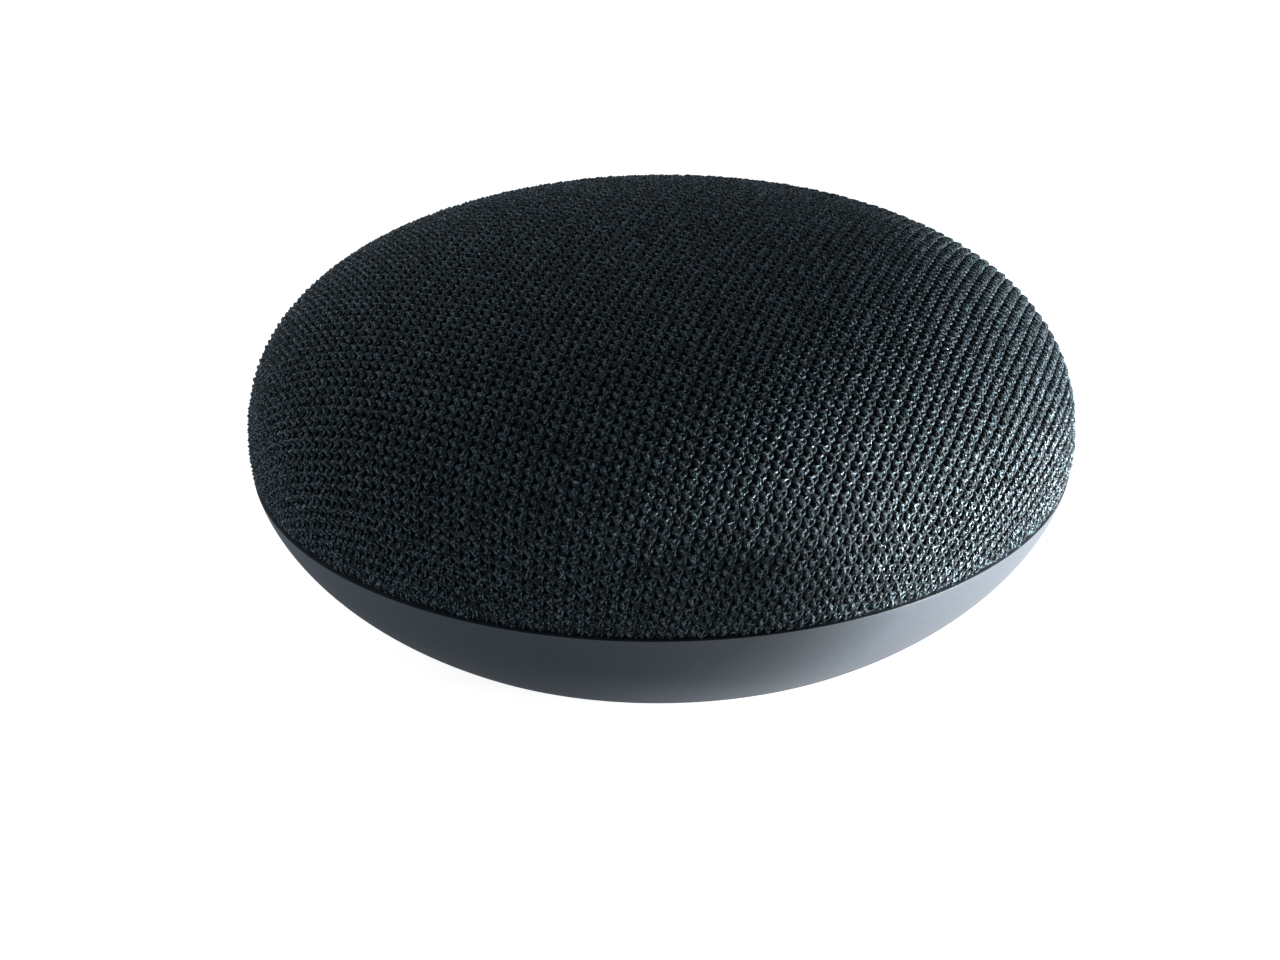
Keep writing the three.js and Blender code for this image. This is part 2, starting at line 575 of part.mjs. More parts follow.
piece(
  "cone_surround",
  turned([[15.2, 29], ...roll(1.4), [21.4, 29], [21.4, 29.4], [19.6, 29.4], ...roll(1.8).slice(1, -1).reverse(), [15.2, 29.4]], DRIVER_SIDES),
  "black_rubber",
);
const leadPath = new THREE.CatmullRomCurve3(
  [[21.9, 29.5], [22.8, 30.9], [24.6, 31.2], [26.2, 30.2], [27.2, 28.3]].map(([r, z]) => new THREE.Vector3(0, r, z)),
);
const leadSection = new THREE.Shape();
leadSection.absellipse(0, 0, 0.5, 1, 0, 2 * Math.PI);
piece(
  "speaker_lead",
  facing(new THREE.ExtrudeGeometry(leadSection, { extrudePath: leadPath, steps: 12, curveSegments: 4 }), 200),
  "black_rubber",
);

// ---- Screws ----

// A pan-head screw standing on its shank, with a six-sided socket in the end at `headEnd`.
function screw(shank, tip, seat, head, headEnd, at) {
  const up = Math.sign(headEnd - seat);
  const sides = 10;
  const body = turned([[0, tip], [shank, tip], [shank, seat], [head, seat], [head, headEnd - 0.3 * up], [head * 0.8, headEnd], [0, headEnd]], sides);
  const socket = rod(head * 0.45, Math.min(headEnd - 0.8 * up, headEnd + up), Math.max(headEnd - 0.8 * up, headEnd + up), [0, 0], 6);
  return geometryOf(cut(body, socket)).translate(...at, 0);
}
SCREW_ANGLES.forEach((a, i) => {
  piece(`case_screw_${i + 1}`, screw(1.2, 27.5, HEAD_SEAT - GAP, 2.3, 3.3, polar(SCREW_CIRCLE, a)), "steel");
});
BOARD_SCREWS.forEach((at, i) => piece(`board_screw_${i + 1}`, screw(0.8, 19.6, ON_BOARD, 1.8, 26.3, at), "steel"));
INPUT_SCREWS.forEach((at, i) => piece(`input_screw_${i + 1}`, screw(0.75, 5, INPUT_TOP + GAP, 1.7, 10, at), "steel"));

export default hub;
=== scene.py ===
import math

import bmesh
import bpy
from mathutils import Matrix, Vector


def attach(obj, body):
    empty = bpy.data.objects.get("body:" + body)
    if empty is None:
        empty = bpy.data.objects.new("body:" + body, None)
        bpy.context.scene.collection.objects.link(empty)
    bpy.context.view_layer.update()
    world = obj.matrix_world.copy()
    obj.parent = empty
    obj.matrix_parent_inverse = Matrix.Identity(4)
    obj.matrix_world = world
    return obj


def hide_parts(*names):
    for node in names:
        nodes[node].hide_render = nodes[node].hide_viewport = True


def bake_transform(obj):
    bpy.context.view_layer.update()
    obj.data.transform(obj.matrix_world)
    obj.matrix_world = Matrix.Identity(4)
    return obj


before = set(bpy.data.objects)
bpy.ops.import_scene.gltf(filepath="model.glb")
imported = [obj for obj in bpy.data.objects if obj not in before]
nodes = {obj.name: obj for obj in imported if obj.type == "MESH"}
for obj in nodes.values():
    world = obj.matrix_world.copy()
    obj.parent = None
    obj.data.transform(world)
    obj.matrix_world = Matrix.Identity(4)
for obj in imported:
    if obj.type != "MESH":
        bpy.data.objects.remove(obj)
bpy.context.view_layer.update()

# ---- Camera, table and studio light ----
# The hub stands on a pale table. A soft window is low on the right, and the table in front of it
# is brightly lit and throws light up at the hub. The room is dim.

MM = 0.001
CAMERA_ELEVATION = 24.68
CAMERA_DISTANCE = 350 * MM
CAMERA_TARGET = Vector((0, 0, 21 * MM))
CAMERA_ROLL = 0.4665


def in_scene(name, data):
    """A new object of this mesh, light or camera, put in the scene."""
    made = bpy.data.objects.new(name, data)
    bpy.context.scene.collection.objects.link(made)
    return made


camera_data = bpy.data.cameras.new("camera")
camera_data.lens = 82.7
camera_data.sensor_width = 36
camera_data.shift_x = -0.0165
camera_data.shift_y = -0.0583
camera_data.clip_start = 0.01
camera = in_scene("camera", camera_data)
up_angle = math.radians(CAMERA_ELEVATION)
back = Vector((0, -math.cos(up_angle), math.sin(up_angle)))
camera.location = CAMERA_TARGET + CAMERA_DISTANCE * back
turn = back.to_track_quat("Z", "Y").to_matrix().to_4x4()
camera.rotation_euler = (turn @ Matrix.Rotation(math.radians(-CAMERA_ROLL), 4, "Z")).to_euler()
bpy.context.scene.camera = camera


class Signal:
    """A socket of a node tree: arithmetic on it adds Math nodes, and node() adds any other node."""

    def __init__(self, tree, socket=None):
        self.tree, self.socket = tree, socket

    def node(self, kind, settings=None, sockets=None, output=0):
        made = self.tree.nodes.new(kind)
        for key, value in (settings or {}).items():
            setattr(made, key, value)
        for key, value in (sockets or {}).items():
            if isinstance(value, Signal):
                self.tree.links.new(value.socket, made.inputs[key])
            else:
                made.inputs[key].default_value = value
        return Signal(self.tree, made.outputs[output])

    def maths(self, operation, *terms):
        return self.node("ShaderNodeMath", {"operation": operation}, dict(enumerate(terms)))

    def vector(self, operation, *terms, output=0):
        settings, sockets = {"operation": operation}, dict(enumerate(terms))
        return self.node("ShaderNodeVectorMath", settings, sockets, output)

    def point(self, x=0.0, y=0.0, z=0.0):
        return self.node("ShaderNodeCombineXYZ", {}, {0: x, 1: y, 2: z})

    def geometry(self, kind, settings=None, **sockets):
        return self.node("GeometryNode" + kind, settings, sockets)

    def compared(self, operation, other):
        return self.node("FunctionNodeCompare", {"operation": operation}, {0: self, 1: other})

    def axes(self):
        made = self.node("ShaderNodeSeparateXYZ", sockets={0: self}).socket.node
        return [Signal(self.tree, made.outputs[i]) for i in range(3)]

    def mix(self, low, high):
        """Colours low to high as this value goes from 0 to 1."""
        shades = [c if isinstance(c, Signal) or len(c) == 4 else (*c, 1) for c in (low, high)]
        sockets = {0: self, 6: shades[0], 7: shades[1]}
        return self.node("ShaderNodeMix", {"data_type": "RGBA"}, sockets, 2)

    def between(self, low, high, to_low=0.0, to_high=1.0):
        """This value's place from low to high, stretched to the other two and held there."""
        sockets = {0: self, 1: low, 2: high, 3: to_low, 4: to_high}
        return self.node("ShaderNodeMapRange", {"interpolation_type": "SMOOTHSTEP"}, sockets)

    def __add__(self, other):
        return self.maths("ADD", self, other)

    def __sub__(self, other):
        return self.maths("SUBTRACT", self, other)

    def __rsub__(self, other):
        return self.maths("SUBTRACT", other, self)

    def __mul__(self, other):
        return self.maths("MULTIPLY", self, other)

    def __truediv__(self, other):
        return self.maths("DIVIDE", self, other)

    def __rtruediv__(self, other):
        return self.maths("DIVIDE", other, self)

    def __pow__(self, other):
        return self.maths("POWER", self, other)

    __radd__, __rmul__ = __add__, __mul__


class Surface(Signal):
    """A material being made: fixed numbers sit on its shader's own sockets."""

    def __init__(self, name, **fixed):
        self.material = bpy.data.materials.new(name)
        self.material.use_nodes = True
        super().__init__(self.material.node_tree)
        self.shader = self.tree.nodes["Principled BSDF"]
        for key, value in fixed.items():
            socket = self.shader.inputs[key.replace("_", " ")]
            socket.default_value = (*value, 1) if isinstance(value, tuple) else value

    def place(self):
        return self.node("ShaderNodeTexCoord", output="Object")

    def noise(self, vector, scale, detail=2.0, roughness=0.5):
        sockets = {"Vector": vector, "Scale": scale, "Detail": detail, "Roughness": roughness}
        return self.node("ShaderNodeTexNoise", sockets=sockets)

    def feed(self, socket, signal):
        self.tree.links.new(signal.socket, self.shader.inputs[socket])

    def bump(self, height, distance, strength=1.0):
        sockets = {"Height": height, "Distance": distance, "Strength": strength}
        lift = self.node("ShaderNodeBump", sockets=sockets)
        self.feed("Normal", lift)
        return lift

    def follow(self, pattern, dark, light, vary, smooth, span=None, lift=0.0, strength=1.0):
        """Colour over a span of a pattern, with roughness and bump that follow it too."""
        self.feed("Base Color", (pattern.between(*span) if span else pattern).mix(dark, light))
        self.feed("Roughness", pattern * vary + smooth)
        if lift:
            self.bump(pattern, lift * MM, strength)


TABLE_RADIUS = 4.0
BELOW_FOOT = -0.03 * MM
GLOW_BELOW_TABLE = -0.2 * MM
UNDER_HUB, OUT_OF_SHADE = 40 * MM, 82 * MM  # radii between which the hub's shade fades out
DAYLIGHT_FROM, DAYLIGHT_TO = -4 * MM, 92 * MM  # rightwards, where daylight starts and is full
table_mesh = bpy.data.meshes.new("table")
maker = bmesh.new()
bmesh.ops.create_circle(maker, cap_ends=True, radius=TABLE_RADIUS, segments=96)
maker.to_mesh(table_mesh)
maker.free()
table_mesh.transform(Matrix.Translation((0, 0, BELOW_FOOT)))
table = in_scene("table", table_mesh)
lit_table = Surface(
    "lit_table", Base_Color=(0.8, 0.8, 0.8), Roughness=0.9, Specular_IOR_Level=0.1,
    Emission_Color=(1, 1, 1), Emission_Strength=0.9,
)
table_mesh.materials.append(lit_table.material)
table.visible_diffuse = table.visible_glossy = table.visible_shadow = False
# Daylight falls on the table from the right: this glow is what the hub's gloss and shade pick up.
glow = in_scene("table_glow", table_mesh.copy())
glow.data.transform(Matrix.Translation((0, 0, GLOW_BELOW_TABLE)))
daylight = Surface(
    "daylit_table", Base_Color=(0, 0, 0), Specular_IOR_Level=0.0, Emission_Strength=1.0
)
place = daylight.place()
rightwards, backwards, _ = place.axes()
from_middle = daylight.vector("LENGTH", place, output="Value")
dim = from_middle.between(UNDER_HUB, OUT_OF_SHADE).mix((0.17, 0.19, 0.21), (0.54, 0.62, 0.68))
daylit = (rightwards * 0.97 - backwards * 0.25).between(DAYLIGHT_FROM, DAYLIGHT_TO)
daylight.feed("Emission Color", daylit.mix(dim, (1.95, 1.95, 1.95)))
glow.data.materials.clear()
glow.data.materials.append(daylight.material)
glow.visible_camera = glow.visible_shadow = False


def soft_light(name, azimuth, elevation, distance, size, power, colour=(1, 1, 1)):
    """A square light that faces the hub. Azimuth is in degrees from +X, towards the rear."""
    data = bpy.data.lights.new(name, "AREA")
    data.shape, data.size, data.energy, data.color = "SQUARE", size, power, colour
    lamp = in_scene(name, data)
    a, e = math.radians(azimuth), math.radians(elevation)
    away = Vector((math.cos(e) * math.cos(a), math.cos(e) * math.sin(a), math.sin(e)))
    lamp.location = CAMERA_TARGET + distance * away
    lamp.rotation_euler = away.to_track_quat("Z", "Y").to_euler()
    lamp.visible_camera = False


soft_light("window", -23, -5, 0.3, 0.055, 4.8, (1.0, 0.99, 0.985))
soft_light("left_fill", 200, 30, 0.5, 0.2, 0.15)
soft_light("rear_fill", 140, 6, 0.5, 0.3, 0.3, (0.95, 0.98, 1.0))

# A low black card at the right of the hub's front keeps the window off the cover's lowest rows.
CARD_X, CARD_NEAR, CARD_FAR, CARD_TOP = 62 * MM, -56 * MM, -150 * MM, 24 * MM
card_mesh = bpy.data.meshes.new("black_card")
edges = ((CARD_FAR, 0), (CARD_NEAR, 0), (CARD_NEAR, CARD_TOP), (CARD_FAR, CARD_TOP))
card_mesh.from_pydata([(CARD_X, y, z) for y, z in edges], [], [(0, 1, 2, 3)])
card_black = Surface("card_black", Base_Color=(0.01, 0.01, 0.01), Roughness=0.9)
card_mesh.materials.append(card_black.material)
card = in_scene("black_card", card_mesh)
card.visible_camera = card.visible_glossy = False

room = bpy.data.worlds.new("room")
room.use_nodes = True
air = Signal(room.node_tree)
_, backwards, _ = air.node("ShaderNodeTexCoord", output="Generated").axes()
dim_in_front = backwards.between(-0.9, 0.6).mix((0.12, 0.135, 0.15), (0.38, 0.42, 0.46))
room.node_tree.links.new(dim_in_front.socket, room.node_tree.nodes["Background"].inputs["Color"])
bpy.context.scene.world = room
bpy.context.scene.view_settings.view_transform = "Standard"

# ---- Foot ----
# A disc of soft grey silicone, stuck into a recess in the bowl's underside so that the hub does
# not slide or buzz on a shelf. A hole near the rear lets a pin reach the reset button.

RADIUS = 49  # millimetres from here on, as in the hub's drawings
HEIGHT = 42
WIDEST_Z = 19
UPPER_POWER = 2.52
LOWER_POWER = 1.82
LOWER_DEPTH = 28.4
SEAM_Z = 16.2
FOOT_RADIUS = 34.6
FOOT_TOP = 1.9
RESET_Y = 29


def mesh_piece(name, builder, material, sharp_angle=32):
    """A finished object from a bmesh in metres: smooth faces, sharp where they meet at an angle."""
    mesh = bpy.data.meshes.new(name)
    for face in builder.faces:
        face.smooth = True
    builder.to_mesh(mesh)
    builder.free()
    mesh.set_sharp_from_angle(angle=math.radians(sharp_angle))
    mesh.materials.append(material)
    return in_scene(name, mesh)


def filleted(outline, radius, steps=3):
    """A closed outline with its corners rounded; points with a third entry use that radius."""
    rounded = []
    for i, point in enumerate(outline):
        here = Vector(point[:2])
        before, after = Vector(outline[i - 1][:2]), Vector(outline[(i + 1) % len(outline)][:2])
        r = point[2] if len(point) > 2 else radius
        to_before, to_after = before - here, after - here
        reach = min(r, 0.48 * to_before.length, 0.48 * to_after.length)
        on_axis = abs(here.x) < 1e-6
        straight = to_before.normalized().dot(to_after.normalized()) < -0.97
        if reach < 1e-4 or on_axis or straight:
            rounded.append(tuple(here))
            continue
        a, b = here + to_before.normalized() * reach, here + to_after.normalized() * reach
        for k in range(steps + 1):
            t = k / steps
            rounded.append(tuple((1 - t) ** 2 * a + 2 * t * (1 - t) * here + t**2 * b))
    return rounded


def turned(outline, sides=128, builder=None, centre=(0, 0)):
    """A bmesh, in metres, of a closed [radius, z] outline in millimetres turned about Z."""
    builder = builder or bmesh.new()
    rings = []
    for r, z in outline:
        if r < 1e-6:
            rings.append([builder.verts.new((centre[0] * MM, centre[1] * MM, z * MM))] * sides)
            continue
        angles = [2 * math.pi * k / sides for k in range(sides)]
        spots = [(centre[0] + r * math.cos(a), centre[1] + r * math.sin(a), z) for a in angles]
        rings.append([builder.verts.new(Vector(s) * MM) for s in spots])
    made = []
    for low, high in zip(rings, rings[1:] + rings[:1]):
        for k in range(sides):
            corners = list(dict.fromkeys([low[k - 1], low[k], high[k], high[k - 1]]))
            if len(corners) > 2:
                made.append(builder.faces.new(corners))
    bmesh.ops.recalc_face_normals(builder, faces=made)
    return builder


def settle(piece):
    """Makes what a piece's modifiers give its plain mesh."""
    depsgraph = bpy.context.evaluated_depsgraph_get()
    result = bpy.data.meshes.new_from_object(piece.evaluated_get(depsgraph))
    piece.modifiers.clear()
    piece.data = result
    result.name = piece.name


def cut_by(piece, cutter, operation="DIFFERENCE"):
    """Cuts or joins a closed bmesh or another piece into this one, and removes the other."""
    if isinstance(cutter, bmesh.types.BMesh):
        cutter = mesh_piece("cutter", cutter, piece.data.materials[0])
    step = piece.modifiers.new("cut", "BOOLEAN")
    step.operation, step.object, step.solver = operation, cutter, "EXACT"
    settle(piece)
    bpy.data.objects.remove(cutter)


def resharpen(piece, angle=32):
    for polygon in piece.data.polygons:
        polygon.use_smooth = True
    piece.data.set_sharp_from_angle(angle=math.radians(angle))


silicone = Surface("foot_silicone", Sheen_Weight=0.15)
place = silicone.place()
dust = silicone.noise(place, 260, 6, 0.65)
grain = silicone.noise(place, 2600, 2)
dusty = dust.between(0.35, 0.75).mix((0.038, 0.045, 0.053), (0.062, 0.069, 0.077))
silicone.feed("Base Color", dusty)
silicone.feed("Roughness", grain * 0.15 + dust * 0.2 + 0.52)
silicone.bump(grain, 0.02 * MM, 0.6)

foot_outline = filleted(
    [
        (0, 0), (30.6, 0), (30.9, 0.25), (31.5, 0.25), (31.8, 0),  # a fine groove near the edge
        (FOOT_RADIUS - 1.3, 0, 0.6), (FOOT_RADIUS, 0.8, 0.6), (FOOT_RADIUS, FOOT_TOP),
        (0, FOOT_TOP),
    ],
    0.15,
)
foot = mesh_piece("foot", turned(foot_outline, 160), silicone.material)
reset_bore = [(0, -1), (2.75, -1), (2.75, -0.01), (2.3, 0.45), (2.3, 3), (0, 3)]
cut_by(foot, turned(reset_bore, 40, centre=(0, RESET_Y)))
resharpen(foot, 40)
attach(foot, "case")
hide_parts("foot_pad")

# ---- Bowl ----
# The lower housing: one injection moulding in cool-grey polycarbonate with a fine spark-eroded
# satin. It holds the port's sleeve, the slider's finger dish and slot, and six screw bosses.

GAP = 0.3
BOWL_RIM = SEAM_Z - GAP / 2
LIP_OUTER, LIP_INNER, LIP_TOP = 45.3, 44.1, 18.8
PORT_Z, PORT_FLOOR_Y = 10.15, 38.6
MUTE_ANGLE, MUTE_Z = 63, 10.1
MUTE_TRAVEL = 2
CASE_CIRCLE, INPUT_CIRCLE = 31.5, 28.2  # radii that the screws stand on
WALL_LOW_Z, UNDERSIDE_Z = 1.75, 1.2  # where the bowl's wall starts, and its flat ring


def spots_on_circle(radius, angles):
    turns = [math.radians(a) for a in angles]
    return [(radius * math.cos(a), radius * math.sin(a)) for a in turns]


SCREW_SPOTS = spots_on_circle(CASE_CIRCLE, (45, 135, 225, 315))
INPUT_SPOTS = spots_on_circle(INPUT_CIRCLE, (60, 118))


def bowl_point(z, inset=0.0):
    """A point [r, z] of the bowl's outline, inset along its normal."""
    depth = (WIDEST_Z - z) / LOWER_DEPTH
    r = (1 - depth**LOWER_POWER) ** (1 / LOWER_POWER)
    lean = Vector((r ** (LOWER_POWER - 1) / RADIUS, -(depth ** (LOWER_POWER - 1)) / LOWER_DEPTH))
    lean.normalize()
    return RADIUS * r - inset * lean.x, z - inset * lean.y


satin = Surface("slate_satin")
place = satin.place()
spark = satin.noise(place, 5200, 3, 0.6)
speckle = satin.node("ShaderNodeTexVoronoi", sockets={"Vector": place, "Scale": 3600.0})
cloud = satin.noise(place, 45, 3)
tint = (speckle * 0.5 + cloud * 0.5).between(0.25, 0.75)
satin.feed("Base Color", tint.mix((0.036, 0.046, 0.057), (0.048, 0.059, 0.071)))
satin.feed("Roughness", spark * 0.1 + cloud * 0.06 + 0.31)
satin.bump(spark, 0.012 * MM, 0.5)

RIM_EDGE = 0.09  # height of the rim's rounded outer edge
wall_height = BOWL_RIM - RIM_EDGE - WALL_LOW_Z
outer_curve = [bowl_point(WALL_LOW_Z + wall_height * i / 36) for i in range(37)]
inner_curve = [bowl_point(2.9 + (BOWL_RIM - 3.9) * i / 12, 2.0) for i in range(13)]
rim_r = bowl_point(BOWL_RIM)[0]
bowl_outline = [
    (0, 2.2), (34.9, 2.2), (34.9, 1.35), (35.05, UNDERSIDE_Z),
    (35.6, UNDERSIDE_Z), (36.1, 1.35), (36.45, 1.55),
    *outer_curve,
    (rim_r - 0.03, BOWL_RIM - 0.03), (rim_r - 0.1, BOWL_RIM),
    (LIP_OUTER, BOWL_RIM), (LIP_OUTER, LIP_TOP - 0.2), (LIP_OUTER - 0.2, LIP_TOP),
    (LIP_INNER + 0.2, LIP_TOP), (LIP_INNER, LIP_TOP - 0.2), (LIP_INNER, BOWL_RIM),
    *inner_curve[::-1],
    (inner_curve[0][0] - 1.5, 4), (0, 4),
]
bowl = mesh_piece("bowl", turned(bowl_outline, 192), satin.material)


def bar(width, height, corner, y0, y1, z, flare=0.0, turn=None):
    """A bmesh of a rounded-rectangle bar along Y, in millimetres, that widens by flare at y1."""
    builder = bmesh.new()
    rings = []
    for y, extra in ((y0, 0), (y1, flare)):
        w, h = width / 2 - corner, height / 2 - corner
        ring = []
        for quarter, (sx, sz) in enumerate(((1, 1), (-1, 1), (-1, -1), (1, -1))):
            for k in range(7):
                a = math.radians(90 * quarter + 15 * k)
                reach = corner + extra
                ring.append((sx * w + reach * math.cos(a), y, z + sz * h + reach * math.sin(a)))
        rings.append([builder.verts.new(Vector(p) * MM) for p in ring])
    count = len(rings[0])
    for k in range(count):
        builder.faces.new([rings[0][k - 1], rings[0][k], rings[1][k], rings[1][k - 1]])
    builder.faces.new(rings[0])
    builder.faces.new(rings[1][::-1])
    bmesh.ops.recalc_face_normals(builder, faces=builder.faces)
    if turn:
        bmesh.ops.transform(builder, matrix=turn, verts=builder.verts)
    return builder


def facing(angle):
    return Matrix.Rotation(math.radians(angle - 90), 4, "Z")


wall_low, wall_high = bowl_point(MUTE_Z - 0.5), bowl_point(MUTE_Z + 0.5)
mute_lean = math.atan2(wall_high[0] - wall_low[0], wall_high[1] - wall_low[1])
ON_MUTE_WALL = (
    facing(MUTE_ANGLE)
    @ Matrix.Translation((0, bowl_point(MUTE_Z)[0] * MM, MUTE_Z * MM))
    @ Matrix.Rotation(-mute_lean, 4, "X")
)

bosses = bmesh.new()
for spot in SCREW_SPOTS:
    turned([(0, 3.5), (3.6, 3.5), (3.6, 17.9), (3.3, 18.2), (0, 18.2)], 32, bosses, spot)
for spot in INPUT_SPOTS:
    turned([(0, 3.5), (2.1, 3.5), (2.1, 7.2), (0, 7.2)], 24, bosses, spot)
turned([(24.1, 3.5), (25.1, 3.5), (25.1, 7.4), (24.1, 7.4)], 96, bosses)
cut_by(bowl, bosses, "UNION")
sleeve_bar = bar(14.6, 11.4, 2.6, PORT_FLOOR_Y - 2, 44.6, PORT_Z)
sleeve = mesh_piece("sleeve", sleeve_bar, satin.material)
sleeve_curve = [bowl_point(WALL_LOW_Z + 14 * i / 24, 0.4) for i in range(25)]
sleeve_trim = [(0, 1.3), *sleeve_curve, (0, WALL_LOW_Z + 14)]
cut_by(sleeve, turned(sleeve_trim, 96), "INTERSECT")
cut_by(bowl, sleeve, "UNION")
port_well = bar(11.6, 8.4, 2, PORT_FLOOR_Y, 54, PORT_Z)
socket_mouth = bar(8.2, 3.3, 0.6, PORT_FLOOR_Y - 3, PORT_FLOOR_Y + 1, PORT_Z)
finger_dish = bar(13.5, 6.4, 3, -0.9, 4, 0, 1.2, ON_MUTE_WALL)
slider_slot = bar(7.4, 3.6, 0.8, -4, 4, 0, 0.0, ON_MUTE_WALL)
for hollow in (port_well, socket_mouth, finger_dish, slider_slot):
    cut_by(bowl, hollow)
holes = bmesh.new()
turned([(0, 0), (2.3, 0), (2.3, 5), (0, 5)], 40, holes, (0, RESET_Y))
for spot in SCREW_SPOTS:
    turned([(0, 0), (2.7, 0), (2.7, 5.2), (1.6, 5.2), (1.6, 30), (0, 30)], 32, holes, spot)
for spot in INPUT_SPOTS:
    turned([(0, 4.6), (1.1, 4.6), (1.1, 9), (0, 9)], 20, holes, spot)
cut_by(bowl, holes)
resharpen(bowl, 28)
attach(bowl, "case")
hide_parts("bottom_shell")

# ---- Knitted cover ----
# Warp-knitted polyester, charcoal with a blue-green cast, stretched over the dome and bonded
# into the seam. Each stitch is a bead-like chain along the wale and a fat loop that leans across.

WALE = (0.39, 1.32)  # from a stitch to the next along the chain, in the flat cloth
COURSE = (1.58, 0.50)  # and to the next chain
KNIT_DEPTH = 0.47  # the chain's middle lies this far under the hub's outline
CLOTH_REACH = 63.2  # from the crown to the hem, along the dome
TUCK_START, TUCK_END, TUCK = 0.1, 0.75, 0.9  # past the hem the yarn turns in behind the bowl's rim
LAST_STITCH = 0.35  # how far past the hem a stitch may still start


def tube(builder, path, radii, sides, uv_layer):
    """A yarn along a path of millimetre points; its UV runs along and around it."""
    points = [Vector(p) for p in path]
    rings, along, walked = [], [], 0.0
    for i, point in enumerate(points):
        ahead = (points[min(i + 1, len(points) - 1)] - points[max(i - 1, 0)]).normalized()
        side = ahead.cross(Vector((0, 0, 1))).normalized()
        top = side.cross(ahead)
        if i:
            walked += (point - points[i - 1]).length
        along.append(walked)
        ring = []
        for k in range(sides):
            a = 2 * math.pi * k / sides
            offset = side * math.cos(a) + top * math.sin(a)
            ring.append(builder.verts.new((point + radii[i] * offset) * MM))
        rings.append(ring)
    for i in range(len(rings) - 1):
        for k in range(sides):
            after = (k + 1) % sides
            low, high = rings[i], rings[i + 1]
            face = builder.faces.new([low[k], low[after], high[after], high[k]])
            spots = [(along[i], k), (along[i], k + 1), (along[i + 1], k + 1), (along[i + 1], k)]
            for loop, (u, v) in zip(face.loops, spots):
                loop[uv_layer].uv = (u, v / sides)


along = Vector((*WALE, 0)).normalized()
across = Vector((along.y, -along.x, 0))


def in_cloth(p, w, h):
    """A point of the stitch: p across the chain, w along it and h up, in millimetres."""
    return across * p + along * w + Vector((0, 0, h))


stitch = bmesh.new()
yarn_uv = stitch.loops.layers.uv.new("UVMap")
# Each yarn's points are [across, along, up, half thickness].
CHAIN_YARN = (  # the chain, which the next stitch carries on
    (0.06, -0.74, -0.06, 0.12), (-0.1, -0.34, 0.03, 0.18),
    (0.06, 0.04, 0.05, 0.18), (0.07, 0.64, -0.06, 0.12),
)
LOOP_YARN = (  # the fat loop that leans from this chain to the next
    (0.12, 1.06, -0.18, 0.16), (0.5, 0.88, 0.03, 0.33),
    (0.98, 0.44, 0.09, 0.38), (1.34, -0.1, -0.14, 0.2),
)
UNDER_YARN = (  # and its way back, under the next loop
    (1.34, 0.16, -0.12, 0.28), (1.0, -0.3, -0.14, 0.42), (0.56, -0.92, -0.2, 0.3),
)


def plied(builder, yarn_points, plies, twist, sides, uv_layer):
    """A yarn of several plies that wind round its path."""
    middle = [in_cloth(*point[:3]) for point in yarn_points]
    for ply in range(plies):
        path, radii = [], []
        for i, centre in enumerate(middle):
            half = yarn_points[i][3]
            ahead = (middle[min(i + 1, len(middle) - 1)] - middle[max(i - 1, 0)]).normalized()
            side = ahead.cross(Vector((0, 0, 1))).normalized()
            angle = 2 * math.pi * ply / plies + twist * i + 0.5
            offset = side * math.cos(angle) + side.cross(ahead) * math.sin(angle) * 0.7
            path.append(centre + 0.52 * half * offset * (plies > 1))
            radii.append(half * (0.58 if plies > 1 else 1.0))
        tube(builder, path, radii, sides, uv_layer)


for yarn_points, plies, twist in ((CHAIN_YARN, 1, 0.0), (LOOP_YARN, 3, 0.55), (UNDER_YARN, 2, 0.5)):
    plied(stitch, yarn_points, plies, twist, 4, yarn_uv)


def node_tree(name, result, *rows):
    """An empty tree with named inputs: it, the inputs' identifiers and their signals by name."""
    tree = bpy.data.node_groups.new(name, "GeometryNodeTree")
    identifiers = {}
    for label, kind, value in rows:
        item = tree.interface.new_socket(label, in_out="INPUT", socket_type="NodeSocket" + kind)
        if value is not None:
            item.default_value = value
        identifiers[label] = item.identifier
    tree.interface.new_socket(result, in_out="OUTPUT", socket_type="NodeSocketGeometry")
    entry = tree.nodes.new("NodeGroupInput")
    return tree, identifiers, {s.name: Signal(tree, s) for s in entry.outputs if s.name}


ALL_ROWS = 100.0  # more rows than the cloth has on either side of its middle
wrap, wrap_inputs, given = node_tree(
    "wrap_stitches_over_dome", "Knit", ("Stitch", "Geometry", None),
    ("Course X", "Float", COURSE[0] * MM), ("Course Y", "Float", COURSE[1] * MM),
    ("Wale X", "Float", WALE[0] * MM), ("Wale Y", "Float", WALE[1] * MM),
    ("First Row", "Float", -ALL_ROWS), ("Last Row", "Float", ALL_ROWS),
    ("Reach", "Float", CLOTH_REACH * MM), ("Depth", "Float", KNIT_DEPTH * MM),
    ("Radius", "Float", RADIUS * MM), ("Widest", "Float", WIDEST_Z * MM),
    ("Crown", "Float", HEIGHT * MM), ("Hem", "Float", (SEAM_Z - 0.6) * MM),
    ("Upper Power", "Float", UPPER_POWER), ("Lower Power", "Float", LOWER_POWER),
    ("Lower Depth", "Float", LOWER_DEPTH * MM), ("Yarn", "Material", None),
)
web = Signal(wrap)


